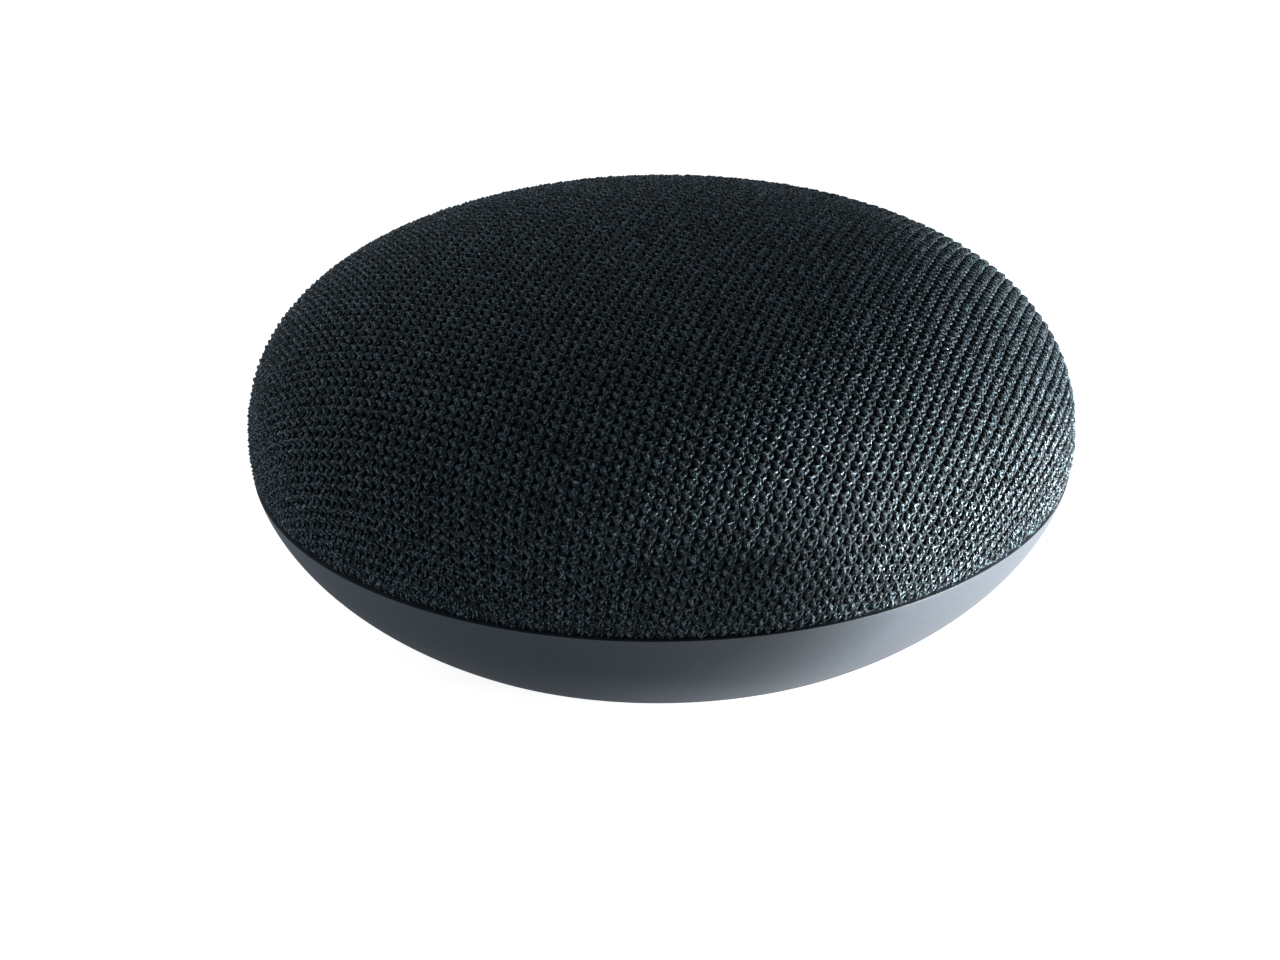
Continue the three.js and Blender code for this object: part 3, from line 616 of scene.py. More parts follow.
def dome_profile(web, given):
    """The dome's half outline as a curve in XZ, from the crown out and down to the hem."""
    line = web.geometry("ResampleCurve", Curve=web.geometry("CurvePrimitiveLine"), Count=320)
    share = web.node("GeometryNodeSplineParameter", output="Factor")
    z = given["Crown"] - (given["Crown"] - given["Hem"]) * share**2.5
    rise = web.maths("MAXIMUM", (z - given["Widest"]) / (given["Crown"] - given["Widest"]), 0.0)
    fall = web.maths("MAXIMUM", (given["Widest"] - z) / given["Lower Depth"], 0.0)
    upper = web.maths("MAXIMUM", 1.0 - rise ** given["Upper Power"], 0.0)
    upper = upper ** (1.0 / given["Upper Power"])
    lower = (1.0 - fall ** given["Lower Power"]) ** (1.0 / given["Lower Power"])
    spot = web.point(given["Radius"] * upper * lower, 0.0, z)
    return web.geometry("SetPosition", Geometry=line, Position=spot)


def wrapped(web, given, cloth):
    """Flat cloth, its middle at the origin and Z its thickness, laid over the dome."""
    u, v, h = web.geometry("InputPosition").axes()
    reach = web.maths("MAXIMUM", web.maths("SQRT", u * u + v * v), 1e-7)
    settings = {"mode": "LENGTH", "use_all_curves": True}
    sockets = {"Curves": dome_profile(web, given), "Length": reach}
    sample = web.node("GeometryNodeSampleCurve", settings, sockets, "Position")
    tangent = Signal(web.tree, sample.socket.node.outputs["Tangent"])
    r, _, z = sample.axes()
    tangent_r, _, tangent_z = tangent.axes()
    tuck_from, tuck_to = given["Reach"] + TUCK_START * MM, given["Reach"] + TUCK_END * MM
    out = h - given["Depth"] - reach.between(tuck_from, tuck_to, 0.0, TUCK * MM)
    radius = r - out * tangent_z
    spot = web.point(radius * u / reach, radius * v / reach, z + out * tangent_r)
    return web.geometry("SetPosition", Geometry=cloth, Position=spot)


LATTICE = 121  # chains and rows tried, before those past the hem are dropped
sockets = {0: LATTICE - 1.0, 1: LATTICE - 1.0, 2: LATTICE, 3: LATTICE}
grid = web.node("GeometryNodeMeshGrid", {}, sockets)
chain, row, _ = web.geometry("InputPosition").axes()
flat_spot = web.point(
    chain * given["Course X"] + row * given["Wale X"],
    chain * given["Course Y"] + row * given["Wale Y"],
)


def without(geometry, selection):
    at_points = {"domain": "POINT"}
    return web.geometry("DeleteGeometry", at_points, Geometry=geometry, Selection=selection)


lattice = without(grid, row.compared("LESS_THAN", given["First Row"]))
lattice = without(lattice, row.compared("GREATER_THAN", given["Last Row"]))
lattice = web.geometry("SetPosition", Geometry=lattice, Position=flat_spot)
reach = web.vector("LENGTH", web.geometry("InputPosition"), output="Value")
lattice = without(lattice, reach.compared("GREATER_THAN", given["Reach"] + LAST_STITCH * MM))


def random_between(low, high, seed):
    """A number drawn for each stitch from its place, so that a band's neighbours draw their own."""
    position = web.geometry("InputPosition")
    big = web.node("ShaderNodeVectorMath", {"operation": "SCALE"}, {0: position, 3: 1.0 / MM})
    sockets = {"Vector": big, "W": float(seed)}
    draw = web.node("ShaderNodeTexWhiteNoise", {"noise_dimensions": "4D"}, sockets, "Value")
    return draw * (high - low) + low


turn_by = web.point(random_between(-0.09, 0.09, 1), 0.0, random_between(-0.09, 0.09, 2))
grow_by = web.point(
    random_between(0.93, 1.08, 3), random_between(0.94, 1.06, 4), random_between(0.85, 1.12, 5)
)
toned = web.geometry(
    "StoreNamedAttribute", {"data_type": "FLOAT", "domain": "POINT"},
    Geometry=lattice, Name="tone", Value=random_between(0.0, 1.0, 6),
)
placed = web.geometry(
    "InstanceOnPoints", Points=toned, Instance=given["Stitch"], Rotation=turn_by, Scale=grow_by
)
cloth = web.geometry("RealizeInstances", Geometry=placed)
wander = {"Vector": web.geometry("InputPosition"), "Scale": 0.22 / MM, "Detail": 3.0}
wander = web.node("ShaderNodeTexNoise", {}, {**wander, "Roughness": 0.6}, "Color")
wander = web.vector("SUBTRACT", wander, (0.5, 0.5, 0.5))
drift = web.vector("MULTIPLY", wander, (0.36 * MM, 0.36 * MM, 0.14 * MM))
cloth = wrapped(web, given, web.geometry("SetPosition", Geometry=cloth, Offset=drift))
cloth = web.geometry("SetMaterial", Geometry=cloth, Material=given["Yarn"])
wrap.links.new(cloth.socket, wrap.nodes.new("NodeGroupOutput").inputs[0])


def grown(name, mesh, tree, inputs, **sizes):
    """The plain object that a node tree makes of a mesh, with its inputs set by their names."""
    piece = in_scene(name, mesh)
    step = piece.modifiers.new("grow", "NODES")
    step.node_group = tree
    for label, value in sizes.items():
        step[inputs[label.replace("_", " ")]] = value
    settle(piece)
    return piece


yarn = Surface(
    "charcoal_yarn", Roughness=0.7, Specular_IOR_Level=0.2, Sheen_Weight=0.06,
    Sheen_Roughness=0.35, Sheen_Tint=(0.5, 0.78, 0.86),
)
place = yarn.place()
tone = yarn.node("ShaderNodeAttribute", {"attribute_name": "tone"}, output="Fac")
length, around, _ = yarn.node("ShaderNodeUVMap", {"uv_map": "UVMap"}).axes()
filaments = yarn.maths("PINGPONG", around * 3.0 + length * 0.8, 0.5) * 2.0
fuzz = yarn.noise(place, 3400, 2, 0.65)
fleck = yarn.noise(yarn.point(length * 3.4, around * 5.0, tone * 60.0), 1.0, 2, 0.7)
speck = fleck * 0.45 + fuzz * 0.55
gloss_and_painted_glint = speck.between(0.48, 0.6)
lift = yarn.bump(filaments * 0.25 + speck * 1.5, 0.12 * MM)
dull = speck.between(0.35, 0.6).mix((0.0012, 0.002, 0.0024), (0.008, 0.0125, 0.014))
yarn.feed("Base Color", dull)
hue = yarn.noise(place, 1500, 1)
# Where the specks peak, a glossier shader takes over. Its gloss is real, but its far lighter base
# colour is a painted glint standing in for the filaments' highlights.
bright = hue.between(0.35, 0.65).mix((0.125, 0.152, 0.198), (0.088, 0.156, 0.18))
shiny_with_painted_glint = yarn.node(
    "ShaderNodeBsdfPrincipled",
    {},
    {
        "Base Color": bright, "Roughness": 0.42 - tone * 0.12, "Normal": lift, "IOR": 1.6,
        "Specular IOR Level": 0.9, "Specular Tint": (0.75, 0.94, 1.0, 1),
    },
)
matt = Signal(yarn.tree, yarn.shader.outputs[0])
blend = yarn.node("ShaderNodeMixShader", {}, {0: gloss_and_painted_glint * 0.85, 1: matt, 2: shiny_with_painted_glint})
yarn.tree.links.new(blend.socket, yarn.tree.nodes["Material Output"].inputs[0])

stitch_mesh = bpy.data.meshes.new("stitch")
for face in stitch.faces:
    face.smooth = True
stitch.to_mesh(stitch_mesh)
stitch.free()

# The ground cloth behind the stitches closes the dome and carries the hem.
black_ground = Surface("black_ground", Roughness=0.95, Specular_IOR_Level=0.1, Sheen_Weight=0.05)
place = black_ground.place()
weave = black_ground.noise(place, 3000, 2)
black_ground.feed("Base Color", weave.mix((0.003, 0.004, 0.0045), (0.01, 0.013, 0.015)))
black_ground.bump(weave, 0.05 * MM, 0.5)


def dome_point(share, inset):
    """A point [r, z] of the dome's outline, inset along its normal, for share 0 crown to 1 hem."""
    turn, rise = math.pi / 2 * (1 - share), HEIGHT - WIDEST_Z
    c, s = math.cos(turn) ** (2 / UPPER_POWER), math.sin(turn) ** (2 / UPPER_POWER)
    lean = Vector((c ** (UPPER_POWER - 1) / RADIUS, s ** (UPPER_POWER - 1) / rise)).normalized()
    return RADIUS * c - inset * lean.x, WIDEST_Z + rise * s - inset * lean.y


GROUND_OUT, GROUND_IN = 0.78, 0.95  # its two faces' depths under the hub's outline
ground_outer = [dome_point(i / 48, GROUND_OUT) for i in range(1, 49)]
ground_inner = [dome_point(i / 48, GROUND_IN) for i in range(1, 49)]
hem_low = [bowl_point(z, 0.55) for z in (18.2, 17.4, 16.7, 16.35)]
hem_in = [bowl_point(z, 0.95) for z in (16.35, 17.4, 18.2)]
ground_outline = [
    (0, HEIGHT - GROUND_OUT), *ground_outer, *hem_low,
    *hem_in, *ground_inner[::-1], (0, HEIGHT - GROUND_IN),
]
ground = mesh_piece("ground_cloth", turned(ground_outline, 160), black_ground.material, 60)
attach(ground, "case")

BAND_EDGES = (-ALL_ROWS, -30.5, -15.5, 0.5, 15.5, 30.5, ALL_ROWS)  # rows where the bands part
for number, (first, last) in enumerate(zip(BAND_EDGES, BAND_EDGES[1:]), 1):
    band = grown(
        f"knit_band_{number}", stitch_mesh, wrap, wrap_inputs,
        First_Row=first, Last_Row=last, Yarn=yarn.material,
    )
    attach(band, "case")
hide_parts("fabric_cover")

# ---- Reset button ----
# A flanged pin of the bowl's own plastic, dished at its tip. It stands in the hole of the foot
# and pushes the switch under the input board when a paper clip is pressed in.

reset_outline = filleted(
    [
        (0, 0.62), (0.5, 0.6), (0.95, 0.42), (1.5, 0.4, 0.25), (1.8, 0.7, 0.3), (1.8, 4.3),
        (3, 4.3), (3, 4.8), (0, 4.8),
    ],
    0.1,
)
reset_pin = mesh_piece("reset_pin", turned(reset_outline, 48, centre=(0, RESET_Y)), satin.material)
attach(reset_pin, "reset_key")
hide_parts("reset_button")

# ---- Mute slider ----
# A ribbed thumb slider in satin plastic on a plate behind the bowl's wall. An arm carries its
# motion to the switch's lever. Orange paint on the plate shows in the slot when the hub is muted.

MUTE_START = -MUTE_TRAVEL / 2
at_rest = ON_MUTE_WALL @ Matrix.Translation((MUTE_START * MM, 0, 0))
plate = bar(11.6, 5.4, 0.6, -4.1, -3.2, 0, 0.0, at_rest)
slider = mesh_piece("mute_thumb_slider", plate, satin.material)
ARM_Z = 10.9
arm_at = facing(MUTE_ANGLE) @ Matrix.Translation((MUTE_START * MM, 0, 0))
arm = mesh_piece("arm", bar(3.2, 1.0, 0.2, 33, 42.3, ARM_Z, 0.0, arm_at), satin.material)
cut_by(arm, bar(1.6, 4.0, 0.2, 31, 35.2, ARM_Z, 0.0, arm_at))  # a notch for the switch's lever
knob = bar(4.6, 2.8, 0.55, -3.8, 0.1, 0, 0.0, at_rest)
crown = bar(4.5, 2.7, 0.5, 0.0, 0.24, 0, -0.12, at_rest)
for joined in (arm, knob, crown):
    cut_by(slider, joined, "UNION")
for x in (-1.6, -0.8, 0, 0.8, 1.6):
    rib_at = ON_MUTE_WALL @ Matrix.Translation(((MUTE_START + x) * MM, 0, 0))
    cut_by(slider, bar(0.42, 2.3, 0.18, 0.0, 0.4, 0, -0.06, rib_at), "UNION")
resharpen(slider, 30)
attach(slider, "mute_knob")
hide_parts("mute_slider")

orange = Surface("signal_orange")
chips = orange.noise(orange.place(), 1800, 4, 0.6)
orange.follow(chips, (0.86, 0.13, 0.02), (0.7, 0.09, 0.015), 0.2, 0.35, (0.4, 0.7))
flag_at = ON_MUTE_WALL @ Matrix.Translation(((MUTE_START - 3.9) * MM, 0, 0))
paint = bar(2.5, 3.4, 0.3, -3.25, -3.16, 0, 0.0, flag_at)
flag = mesh_piece("mute_flag_paint", paint, orange.material)
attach(flag, "mute_knob")

# ---- Power socket ----
# A folded steel shell, soldered to the input board. A black tongue
# inside it carries five gold-plated contacts.

SOCKET_LOW, SOCKET_HIGH, SOCKET_FACE = 8.8, 11.5, 38.9


def zinc_steel(name, shade, roughness, scale=2200):
    """Plated steel: faint brushing, tarnish in clouds and finger marks in the gloss."""
    metal = Surface(name, Metallic=1.0)
    place = metal.place()
    brushed = metal.noise(metal.vector("MULTIPLY", place, (1.0, 1.0, 0.08)), scale, 3, 0.6)
    tarnish = metal.noise(place, 160, 3)
    dark = tuple(v * 0.72 for v in shade)
    metal.feed("Base Color", (tarnish * 0.6 + brushed * 0.4).between(0.3, 0.7).mix(dark, shade))
    metal.feed("Roughness", brushed * 0.16 + tarnish * 0.12 + (roughness - 0.14))
    metal.bump(brushed, 0.008 * MM, 0.5)
    return metal.material


zinc = zinc_steel("zinc_plate", (0.55, 0.56, 0.58), 0.34)
tin = zinc_steel("bright_tin", (0.66, 0.67, 0.67), 0.26, 900)
gold = zinc_steel("contact_gold", (0.83, 0.6, 0.2), 0.25, 1500)


def extruded(profile, y0, y1, builder=None):
    """A closed bmesh of an [x, z] profile run along Y, in millimetres."""
    builder = builder or bmesh.new()
    ends = [[builder.verts.new(Vector((x, y, z)) * MM) for x, z in profile] for y in (y0, y1)]
    faces = [builder.faces.new(ends[0]), builder.faces.new(ends[1][::-1])]
    for k in range(len(profile)):
        faces.append(builder.faces.new([ends[0][k - 1], ends[0][k], ends[1][k], ends[1][k - 1]]))
    bmesh.ops.recalc_face_normals(builder, faces=faces)
    return builder


def socket_profile(inset):
    wide, narrow, top, low = 3.75 - inset, 2.9 - inset, SOCKET_HIGH - inset, SOCKET_LOW + inset
    left = [(-wide, top), (-wide, low + 1), (-narrow, low)]
    return filleted([*left, (narrow, low), (wide, low + 1), (wide, top)], 0.4, 4)


socket = mesh_piece("socket_shell", extruded(socket_profile(0), 33, SOCKET_FACE), zinc)
cut_by(socket, extruded(socket_profile(0.28), 33.8, 40))
for x in (-2.0, 2.0):
    window = [(x - 0.45, 11), (x + 0.45, 11), (x + 0.45, 12), (x - 0.45, 12)]
    cut_by(socket, extruded(window, 35.4, 37.4))
resharpen(socket, 35)
chip_resin = Surface("moulded_epoxy", Specular_IOR_Level=0.4)
pepper = chip_resin.noise(chip_resin.place(), 4000, 3, 0.7)
chip_resin.follow(
    pepper, (0.006, 0.006, 0.007), (0.018, 0.018, 0.019), 0.25, 0.42, lift=0.015, strength=0.7
)
tongue_profile = filleted([(-1.8, 10.05), (1.8, 10.05), (1.8, 10.65), (-1.8, 10.65)], 0.12)
tongue = mesh_piece("socket_tongue", extruded(tongue_profile, 33.4, 38.3), chip_resin.material)
contacts = bmesh.new()
CONTACT_PITCH = 0.65
for pin in range(5):
    x = (pin - 2) * CONTACT_PITCH
    strip = filleted([(x - 0.16, 9.97), (x + 0.16, 9.97), (x + 0.16, 10.1), (x - 0.16, 10.1)], 0.03)
    extruded(strip, 33.5, 38.0, contacts)
contact_strips = mesh_piece("socket_contacts", contacts, gold)
for piece in (socket, tongue, contact_strips):
    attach(piece, "case")
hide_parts("power_socket")

# ---- Screws ----
# Zinc-plated pan-head screws with six-lobed drives. Four hold the bowl to the dome through the
# heat sink, three hold the main board and two hold the input board.

CASE_SHANK, BOARD_SHANK, INPUT_SHANK = 1.2, 0.95, 0.8
CASE_PITCH, BOARD_PITCH, INPUT_PITCH = 0.9, 0.6, 0.5
BOARD_CIRCLE = 38
THREAD_DEPTH = 0.22  # as a share of the shank's radius
DRIVE_TURN = 7.0  # so that each screw comes to rest at its own angle
thread, thread_inputs, given = node_tree(
    "cut_threads_and_drive_in", "Screws",
    ("Screw", "Geometry", None), ("Count", "Int", 4), ("Circle", "Float", CASE_CIRCLE * MM),
    ("Start", "Float", 0.0), ("Step", "Float", 0.0), ("Pitch", "Float", CASE_PITCH * MM),
    ("Depth", "Float", THREAD_DEPTH * CASE_SHANK * MM), ("Shank", "Float", CASE_SHANK * MM),
    ("Plating", "Material", None),
)
web = Signal(thread)
x, y, z = web.geometry("InputPosition").axes()
distance = web.maths("SQRT", x * x + y * y)
phase = web.maths("FRACT", z / given["Pitch"] - web.maths("ARCTAN2", y, x) / (2 * math.pi))
crest = web.maths("PINGPONG", phase, 0.5) * 2.0
off_shank = web.maths("ABSOLUTE", distance - given["Shank"])
shrink = 1.0 - given["Depth"] * (1.0 - crest) / given["Shank"]
cut_thread = web.geometry(
    "SetPosition", Geometry=given["Screw"], Selection=off_shank.compared("LESS_THAN", 0.01 * MM),
    Position=web.point(x * shrink, y * shrink, z),
)
points = web.geometry("MeshLine", Count=given["Count"])
bearing = given["Start"] + given["Step"] * web.geometry("InputIndex")
east, north = web.maths("COSINE", bearing), web.maths("SINE", bearing)
spot = web.point(east * given["Circle"], north * given["Circle"])
points = web.geometry("SetPosition", Geometry=points, Position=spot)
spun = web.point(z=bearing * DRIVE_TURN)
driven = web.geometry("InstanceOnPoints", Points=points, Instance=cut_thread, Rotation=spun)
driven = web.geometry("RealizeInstances", Geometry=driven)
driven = web.geometry("SetMaterial", Geometry=driven, Material=given["Plating"])
thread.links.new(driven.socket, thread.nodes.new("NodeGroupOutput").inputs[0])


def screw_blank(head_z, head_top, head_r, shank_r, tip_z, pitch):
    """A screw's mesh: a pan head with a six-lobed drive, and a shank in fine rings to thread."""
    up = 1 if head_top > head_z else -1  # +1 where the head is on top
    outline = [(0, head_top), (head_r - 0.7, head_top), (head_r - 0.25, head_top - 0.12 * up)]
    outline += [(head_r, head_top - 0.5 * up), (head_r, head_z)]
    rings = int(abs(tip_z - head_z) / pitch * 6)
    outline += [(shank_r, head_z + (tip_z - head_z) * (i / rings)) for i in range(rings)]
    outline += [(shank_r * 0.6, tip_z), (0, tip_z)]
    blank = mesh_piece("blank", turned(outline, 24), zinc)
    lobes = []
    for a in (math.radians(10 * k) for k in range(36)):
        reach = head_r * (0.46 + 0.1 * math.cos(6 * a))
        lobes.append((reach * math.cos(a), reach * math.sin(a)))
    drive = extruded(lobes, -1.0, 1.0)
    bmesh.ops.rotate(drive, matrix=Matrix.Rotation(math.pi / 2, 3, "X"), verts=drive.verts)
    bmesh.ops.translate(drive, vec=(0, 0, head_top * MM), verts=drive.verts)
    cut_by(blank, drive)
    resharpen(blank, 30)
    mesh = blank.data
    bpy.data.objects.remove(blank)
    return mesh


case_blank = screw_blank(4.9, 3.3, 2.29, CASE_SHANK, 27.5, CASE_PITCH)
board_blank = screw_blank(24.95, 26.3, 1.7, BOARD_SHANK, 19.6, BOARD_PITCH)
input_blank = screw_blank(8.75, 10.0, 1.6, INPUT_SHANK, 5.0, INPUT_PITCH)
case_set = (case_blank, CASE_CIRCLE, CASE_PITCH, CASE_SHANK)
board_set = (board_blank, BOARD_CIRCLE, BOARD_PITCH, BOARD_SHANK)
input_set = (input_blank, INPUT_CIRCLE, INPUT_PITCH, INPUT_SHANK)
for name, (mesh, circle, pitch, shank), start, step, replaced in (
    ("case_screws", case_set, 45, 90, [f"case_screw_{n}" for n in (1, 2, 3, 4)]),
    ("board_screws_rear", board_set, 20, 140, ["board_screw_1", "board_screw_2"]),
    ("board_screw_front", board_set, 270, 0, ["board_screw_3"]),
    ("input_screws", input_set, 60, 58, ["input_screw_1", "input_screw_2"]),
):
    screws = grown(
        name, mesh, thread, thread_inputs, Count=len(replaced), Circle=circle * MM,
        Start=math.radians(start), Step=math.radians(step), Pitch=pitch * MM,
        Depth=THREAD_DEPTH * shank * MM, Shank=shank * MM, Plating=zinc,
    )
    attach(screws, "case")
    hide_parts(*replaced)


# ---- Dome shell, driver box and switch parts ----
# Black glass-filled plastic, moulded with a fine matt grain that shows flow clouds up close.


def refinished(material, *names):
    """Gives carried-over parts a better material; their shapes stay as drawn."""
    for name in names:
        for slot in nodes[name].material_slots:
            slot.material = material


black_moulding = Surface("black_moulding", Specular_IOR_Level=0.45)
place = black_moulding.place()
grit = black_moulding.noise(place, 3400, 3, 0.65)
flow = black_moulding.noise(place, 70, 3)
cloudy = (grit * 0.4 + flow * 0.6).mix((0.008, 0.008, 0.009), (0.022, 0.022, 0.024))
black_moulding.feed("Base Color", cloudy)
black_moulding.feed("Roughness", grit * 0.2 + flow * 0.1 + 0.35)
black_moulding.bump(grit, 0.02 * MM, 0.6)
refinished(black_moulding.material, "top_shell", "speaker_box", "reset_switch", "mute_lever")

# ---- Heat sink ----
# A die-cast aluminium ring with fins, bead-blasted. It spreads the processor's heat.

cast = Surface("blasted_aluminium", Metallic=1.0)
place = cast.place()
blast = cast.noise(place, 2600, 4, 0.7)
stain = cast.noise(place, 90, 4)
mottled = (blast * 0.5 + stain * 0.5).between(0.3, 0.7)
cast.feed("Base Color", mottled.mix((0.33, 0.34, 0.35), (0.56, 0.57, 0.58)))
cast.feed("Roughness", blast * 0.25 + stain * 0.15 + 0.3)
cast.bump(blast, 0.03 * MM, 0.8)
refinished(cast.material, "heat_sink")

# ---- Sheet and turned metal parts ----
# Zinc-plated steel for the driver, the capacitor's can and the switch, bright tin for the radio
# shield and the microphones, lacquered copper for the foils and enamelled wire for the coil.

refinished(zinc, "mute_switch", "capacitor", "speaker_frame", "speaker_yoke", "speaker_front_plate")
refinished(tin, "wifi_shield", "microphone_left", "microphone_right")
foil = Surface("lacquered_copper", Metallic=1.0)
bloom = foil.noise(foil.place(), 140, 4)
foil.follow(bloom, (0.5, 0.17, 0.07), (0.86, 0.42, 0.22), 0.25, 0.2, (0.3, 0.7))
refinished(
    foil.material, "touch_pad_left", "touch_pad_right", "aerial_front", "aerial_rear", "light_flex"
)
winding = Surface("enamelled_wire", Metallic=1.0, Roughness=0.3)
turns = winding.maths("PINGPONG", winding.place().axes()[2] / (0.2 * MM), 0.5) * 2.0
# The wire is coloured darker towards the grooves between its turns: painted shade there, over the
# bump's real relief.
winding.feed("Base Color", turns.mix((0.12, 0.03, 0.012), (0.72, 0.28, 0.1)))
winding.bump(turns, 0.08 * MM)
refinished(winding.material, "voice_coil")

# ---- Circuit boards ----
# Green solder mask over glass epoxy, with copper tracks that show through as paler lines and
# tinned pads between them.

mask_green = Surface("solder_mask", Specular_IOR_Level=0.6, Coat_Weight=0.3)
place = mask_green.place()
x, y, _ = place.axes()
block_draw = mask_green.node(
    "ShaderNodeTexVoronoi", {"distance": "CHEBYCHEV"}, {"Vector": place, "Scale": 210.0}, "Color"
)
choose, bend, rare = block_draw.axes()
run_x = mask_green.maths("PINGPONG", x / (0.9 * MM), 0.5)
run_y = mask_green.maths("PINGPONG", y / (0.9 * MM), 0.5)
sideways = choose.between(0.49, 0.51)
run = run_x * sideways + run_y * (1.0 - sideways)
track = run.between(0.32, 0.36) * bend.between(0.25, 0.3)
pad_spots = {"Vector": place, "Scale": 700.0, "Randomness": 0.15}
pad = mask_green.node("ShaderNodeTexVoronoi", {}, pad_spots, "Distance")
pad = (1.0 - pad.between(0.16, 0.2)) * rare.between(0.7, 0.72)
board_tint = track.mix((0.005, 0.052, 0.022), (0.014, 0.13, 0.05))
mask_green.feed("Base Color", pad.mix(board_tint, (0.62, 0.6, 0.55)))
mask_green.feed("Metallic", pad)
mask_green.feed("Roughness", 0.28 + mask_green.noise(place, 500, 3) * 0.2)
mask_green.bump(track * 0.5 + pad, 0.03 * MM)
refinished(mask_green.material, "input_board", "main_board", "light_board")

# ---- Chips, coil and magnet ----
# Epoxy packages with a pepper-fine moulded skin, and sintered ferrite with a chalky bloom.

refinished(chip_resin.material, "processor", "memory_chip", "amplifier_chip")
sintered = Surface("sintered_ferrite", Specular_IOR_Level=0.35)
powder = sintered.noise(sintered.place(), 1700, 5, 0.75)
sintered.follow(
    powder, (0.012, 0.012, 0.014), (0.06, 0.06, 0.062), 0.3, 0.5, lift=0.04, strength=0.7
)
refinished(sintered.material, "power_coil", "speaker_magnet")

# ---- Connectors, ribbon and lights ----
# Ivory connector plastic, a white ribbon with its conductors standing through the skin, and a
# frosted guide over four small lights.

ivory = Surface("connector_ivory", Subsurface_Weight=0.05)
haze = ivory.noise(ivory.place(), 600, 4)
ivory.follow(haze, (0.6, 0.58, 0.52), (0.78, 0.77, 0.72), 0.25, 0.32, (0.35, 0.65), 0.01, 0.5)
refinished(ivory.material, "ribbon_socket_lower", "ribbon_socket_upper", "speaker_plug")
ribbon = Surface("ribbon_film")
x, y, _ = ribbon.place().axes()
lean = math.radians(112)
wires = ribbon.maths("PINGPONG", (x * math.sin(lean) - y * math.cos(lean)) / (0.5 * MM), 0.5) * 2.0
ribbon.follow(wires, (0.55, 0.53, 0.46), (0.82, 0.82, 0.8), 0.2, 0.3, (0.35, 0.65), 0.06)
refinished(ribbon.material, "ribbon_cable")
lamp_body = Surface("light_package", Roughness=0.4)
phosphor = lamp_body.noise(lamp_body.place(), 2500, 2).between(0.4, 0.6)
lamp_body.feed("Base Color", phosphor.mix((0.72, 0.7, 0.5), (0.85, 0.84, 0.7)))
refinished(lamp_body.material, "light_1", "light_2", "light_3", "light_4")
frosted = Surface("frosted_guide", IOR=1.49, Transmission_Weight=0.85)
frost = frosted.noise(frosted.place(), 1800, 3, 0.6)
frosted.follow(frost, (0.82, 0.86, 0.88), (0.95, 0.96, 0.97), 0.2, 0.3, lift=0.02, strength=0.5)
refinished(frosted.material, "light_guide")

# ---- Driver's soft parts, pads and boots ----
# Pressed paper pulp, black rubber, phenolic-dipped cloth and grey foam.

pulp = Surface("pressed_pulp", Specular_IOR_Level=0.25)
drawn_out = pulp.vector("MULTIPLY", pulp.place(), (1.0, 2.6, 1.0))
fibres = pulp.noise(drawn_out, 1300, 5, 0.75)
pulp.follow(
    fibres, (0.008, 0.008, 0.009), (0.036, 0.035, 0.034), 0.2, 0.7, (0.3, 0.7), 0.06, 0.8
)
refinished(pulp.material, "speaker_cone", "dust_cap")
rubber = Surface("black_rubber", Sheen_Weight=0.1)
place = rubber.place()
bloom = rubber.noise(place, 380, 5, 0.65)
rubber.follow(bloom, (0.006, 0.006, 0.006), (0.02, 0.02, 0.021), 0.3, 0.45, (0.35, 0.7))
rubber.bump(rubber.noise(place, 2800, 2), 0.01 * MM, 0.5)
refinished(rubber.material, "microphone_boot_left", "microphone_boot_right", "speaker_lead")
dipped = Surface("phenolic_cloth")
x, y, _ = dipped.place().axes()
weft, warp = (dipped.maths("PINGPONG", v / (0.35 * MM), 0.5) * 2.0 for v in (x, y))
dipped.follow(weft * warp, (0.2, 0.1, 0.025), (0.56, 0.36, 0.12), -0.2, 0.8, lift=0.06)


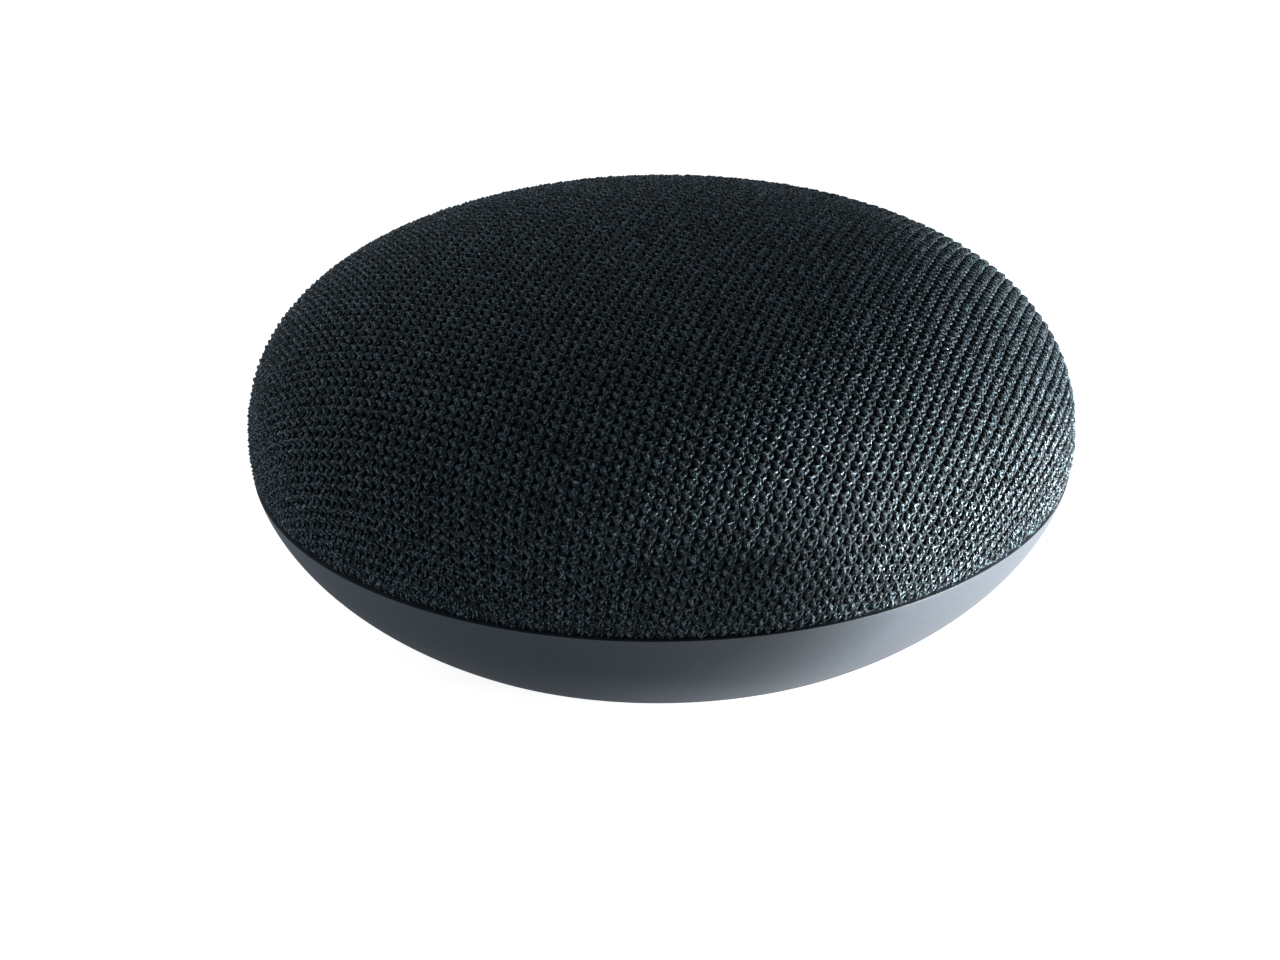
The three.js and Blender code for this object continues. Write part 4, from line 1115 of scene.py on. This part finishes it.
def bending_ring(name, outline, material, node, wedges=12, steps=4):
    """A ring, made as separate wedges."""
    arc = 360 / wedges
    for number in range(wedges):
        builder = bmesh.new()
        rings = []
        for k in range(steps + 1):
            a = math.radians(arc * (number - 0.5 + k / steps))
            spots = [Vector((r * math.cos(a), r * math.sin(a), z)) for r, z in outline]
            rings.append([builder.verts.new(spot * MM) for spot in spots])
        for low, high in zip(rings, rings[1:]):
            for i in range(len(outline)):
                builder.faces.new([low[i - 1], low[i], high[i], high[i - 1]])
        builder.faces.new(rings[0])
        builder.faces.new(rings[-1][::-1])
        bmesh.ops.recalc_face_normals(builder, faces=builder.faces)
        wedge = mesh_piece(f"{name}_{number + 1}", builder, material)
        level = Vector((0, 0, outline[0][1] * MM))
        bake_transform(wedge)
        if number == 0:
            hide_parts(node)


SPIDER_Z, SPIDER_INNER, RIPPLE_LENGTH = 19.8, 7.5, 3
SPIDER_HALF = 0.16  # half the cloth's thickness


def ripple(r):
    return SPIDER_Z + 0.35 * math.cos((r - SPIDER_INNER) / RIPPLE_LENGTH * 2 * math.pi)


spider_radii = [SPIDER_INNER + 0.375 * i for i in range(25)]
spider_outline = [(r, ripple(r) - SPIDER_HALF) for r in spider_radii]
spider_outline += [(r, ripple(r) + SPIDER_HALF) for r in spider_radii[::-1]]
bending_ring(
    "spider_cloth", spider_outline, dipped.material, "speaker_spider"
)
ROLL_R, ROLL_Z = 17.6, 29  # the middle of the surround's half roll
half_turns = [math.pi * (1 - i / 12) for i in range(13)]
roll_under = [(ROLL_R + 1.4 * math.cos(a), ROLL_Z + 1.4 * math.sin(a)) for a in half_turns]
roll_over = [(ROLL_R + 1.8 * math.cos(a), ROLL_Z + 1.8 * math.sin(a)) for a in half_turns[3:-3]]
surround_outline = [
    (15.2, ROLL_Z), *roll_under, (21.4, ROLL_Z), (21.4, 29.4), (19.7, 29.4), (19.3, 29.55),
    *roll_over[::-1], (15.9, 29.55), (15.5, 29.4), (15.2, 29.4),
]
bending_ring(
    "surround_rubber", surround_outline, rubber.material, "cone_surround",
)
foam = Surface("grey_foam", Roughness=0.95, Specular_IOR_Level=0.2)
pores = {"Vector": foam.place(), "Scale": 2600.0}
cells = foam.node("ShaderNodeTexVoronoi", {}, pores, "Distance")
# Each pore is coloured darker at its middle, where the bump sinks it: painted shade in the pores.
foam.feed("Base Color", cells.between(0.1, 0.6).mix((0.03, 0.03, 0.032), (0.11, 0.11, 0.115)))
foam.bump(cells, 0.12 * MM)
refinished(foam.material, "thermal_pad", "speaker_gasket")
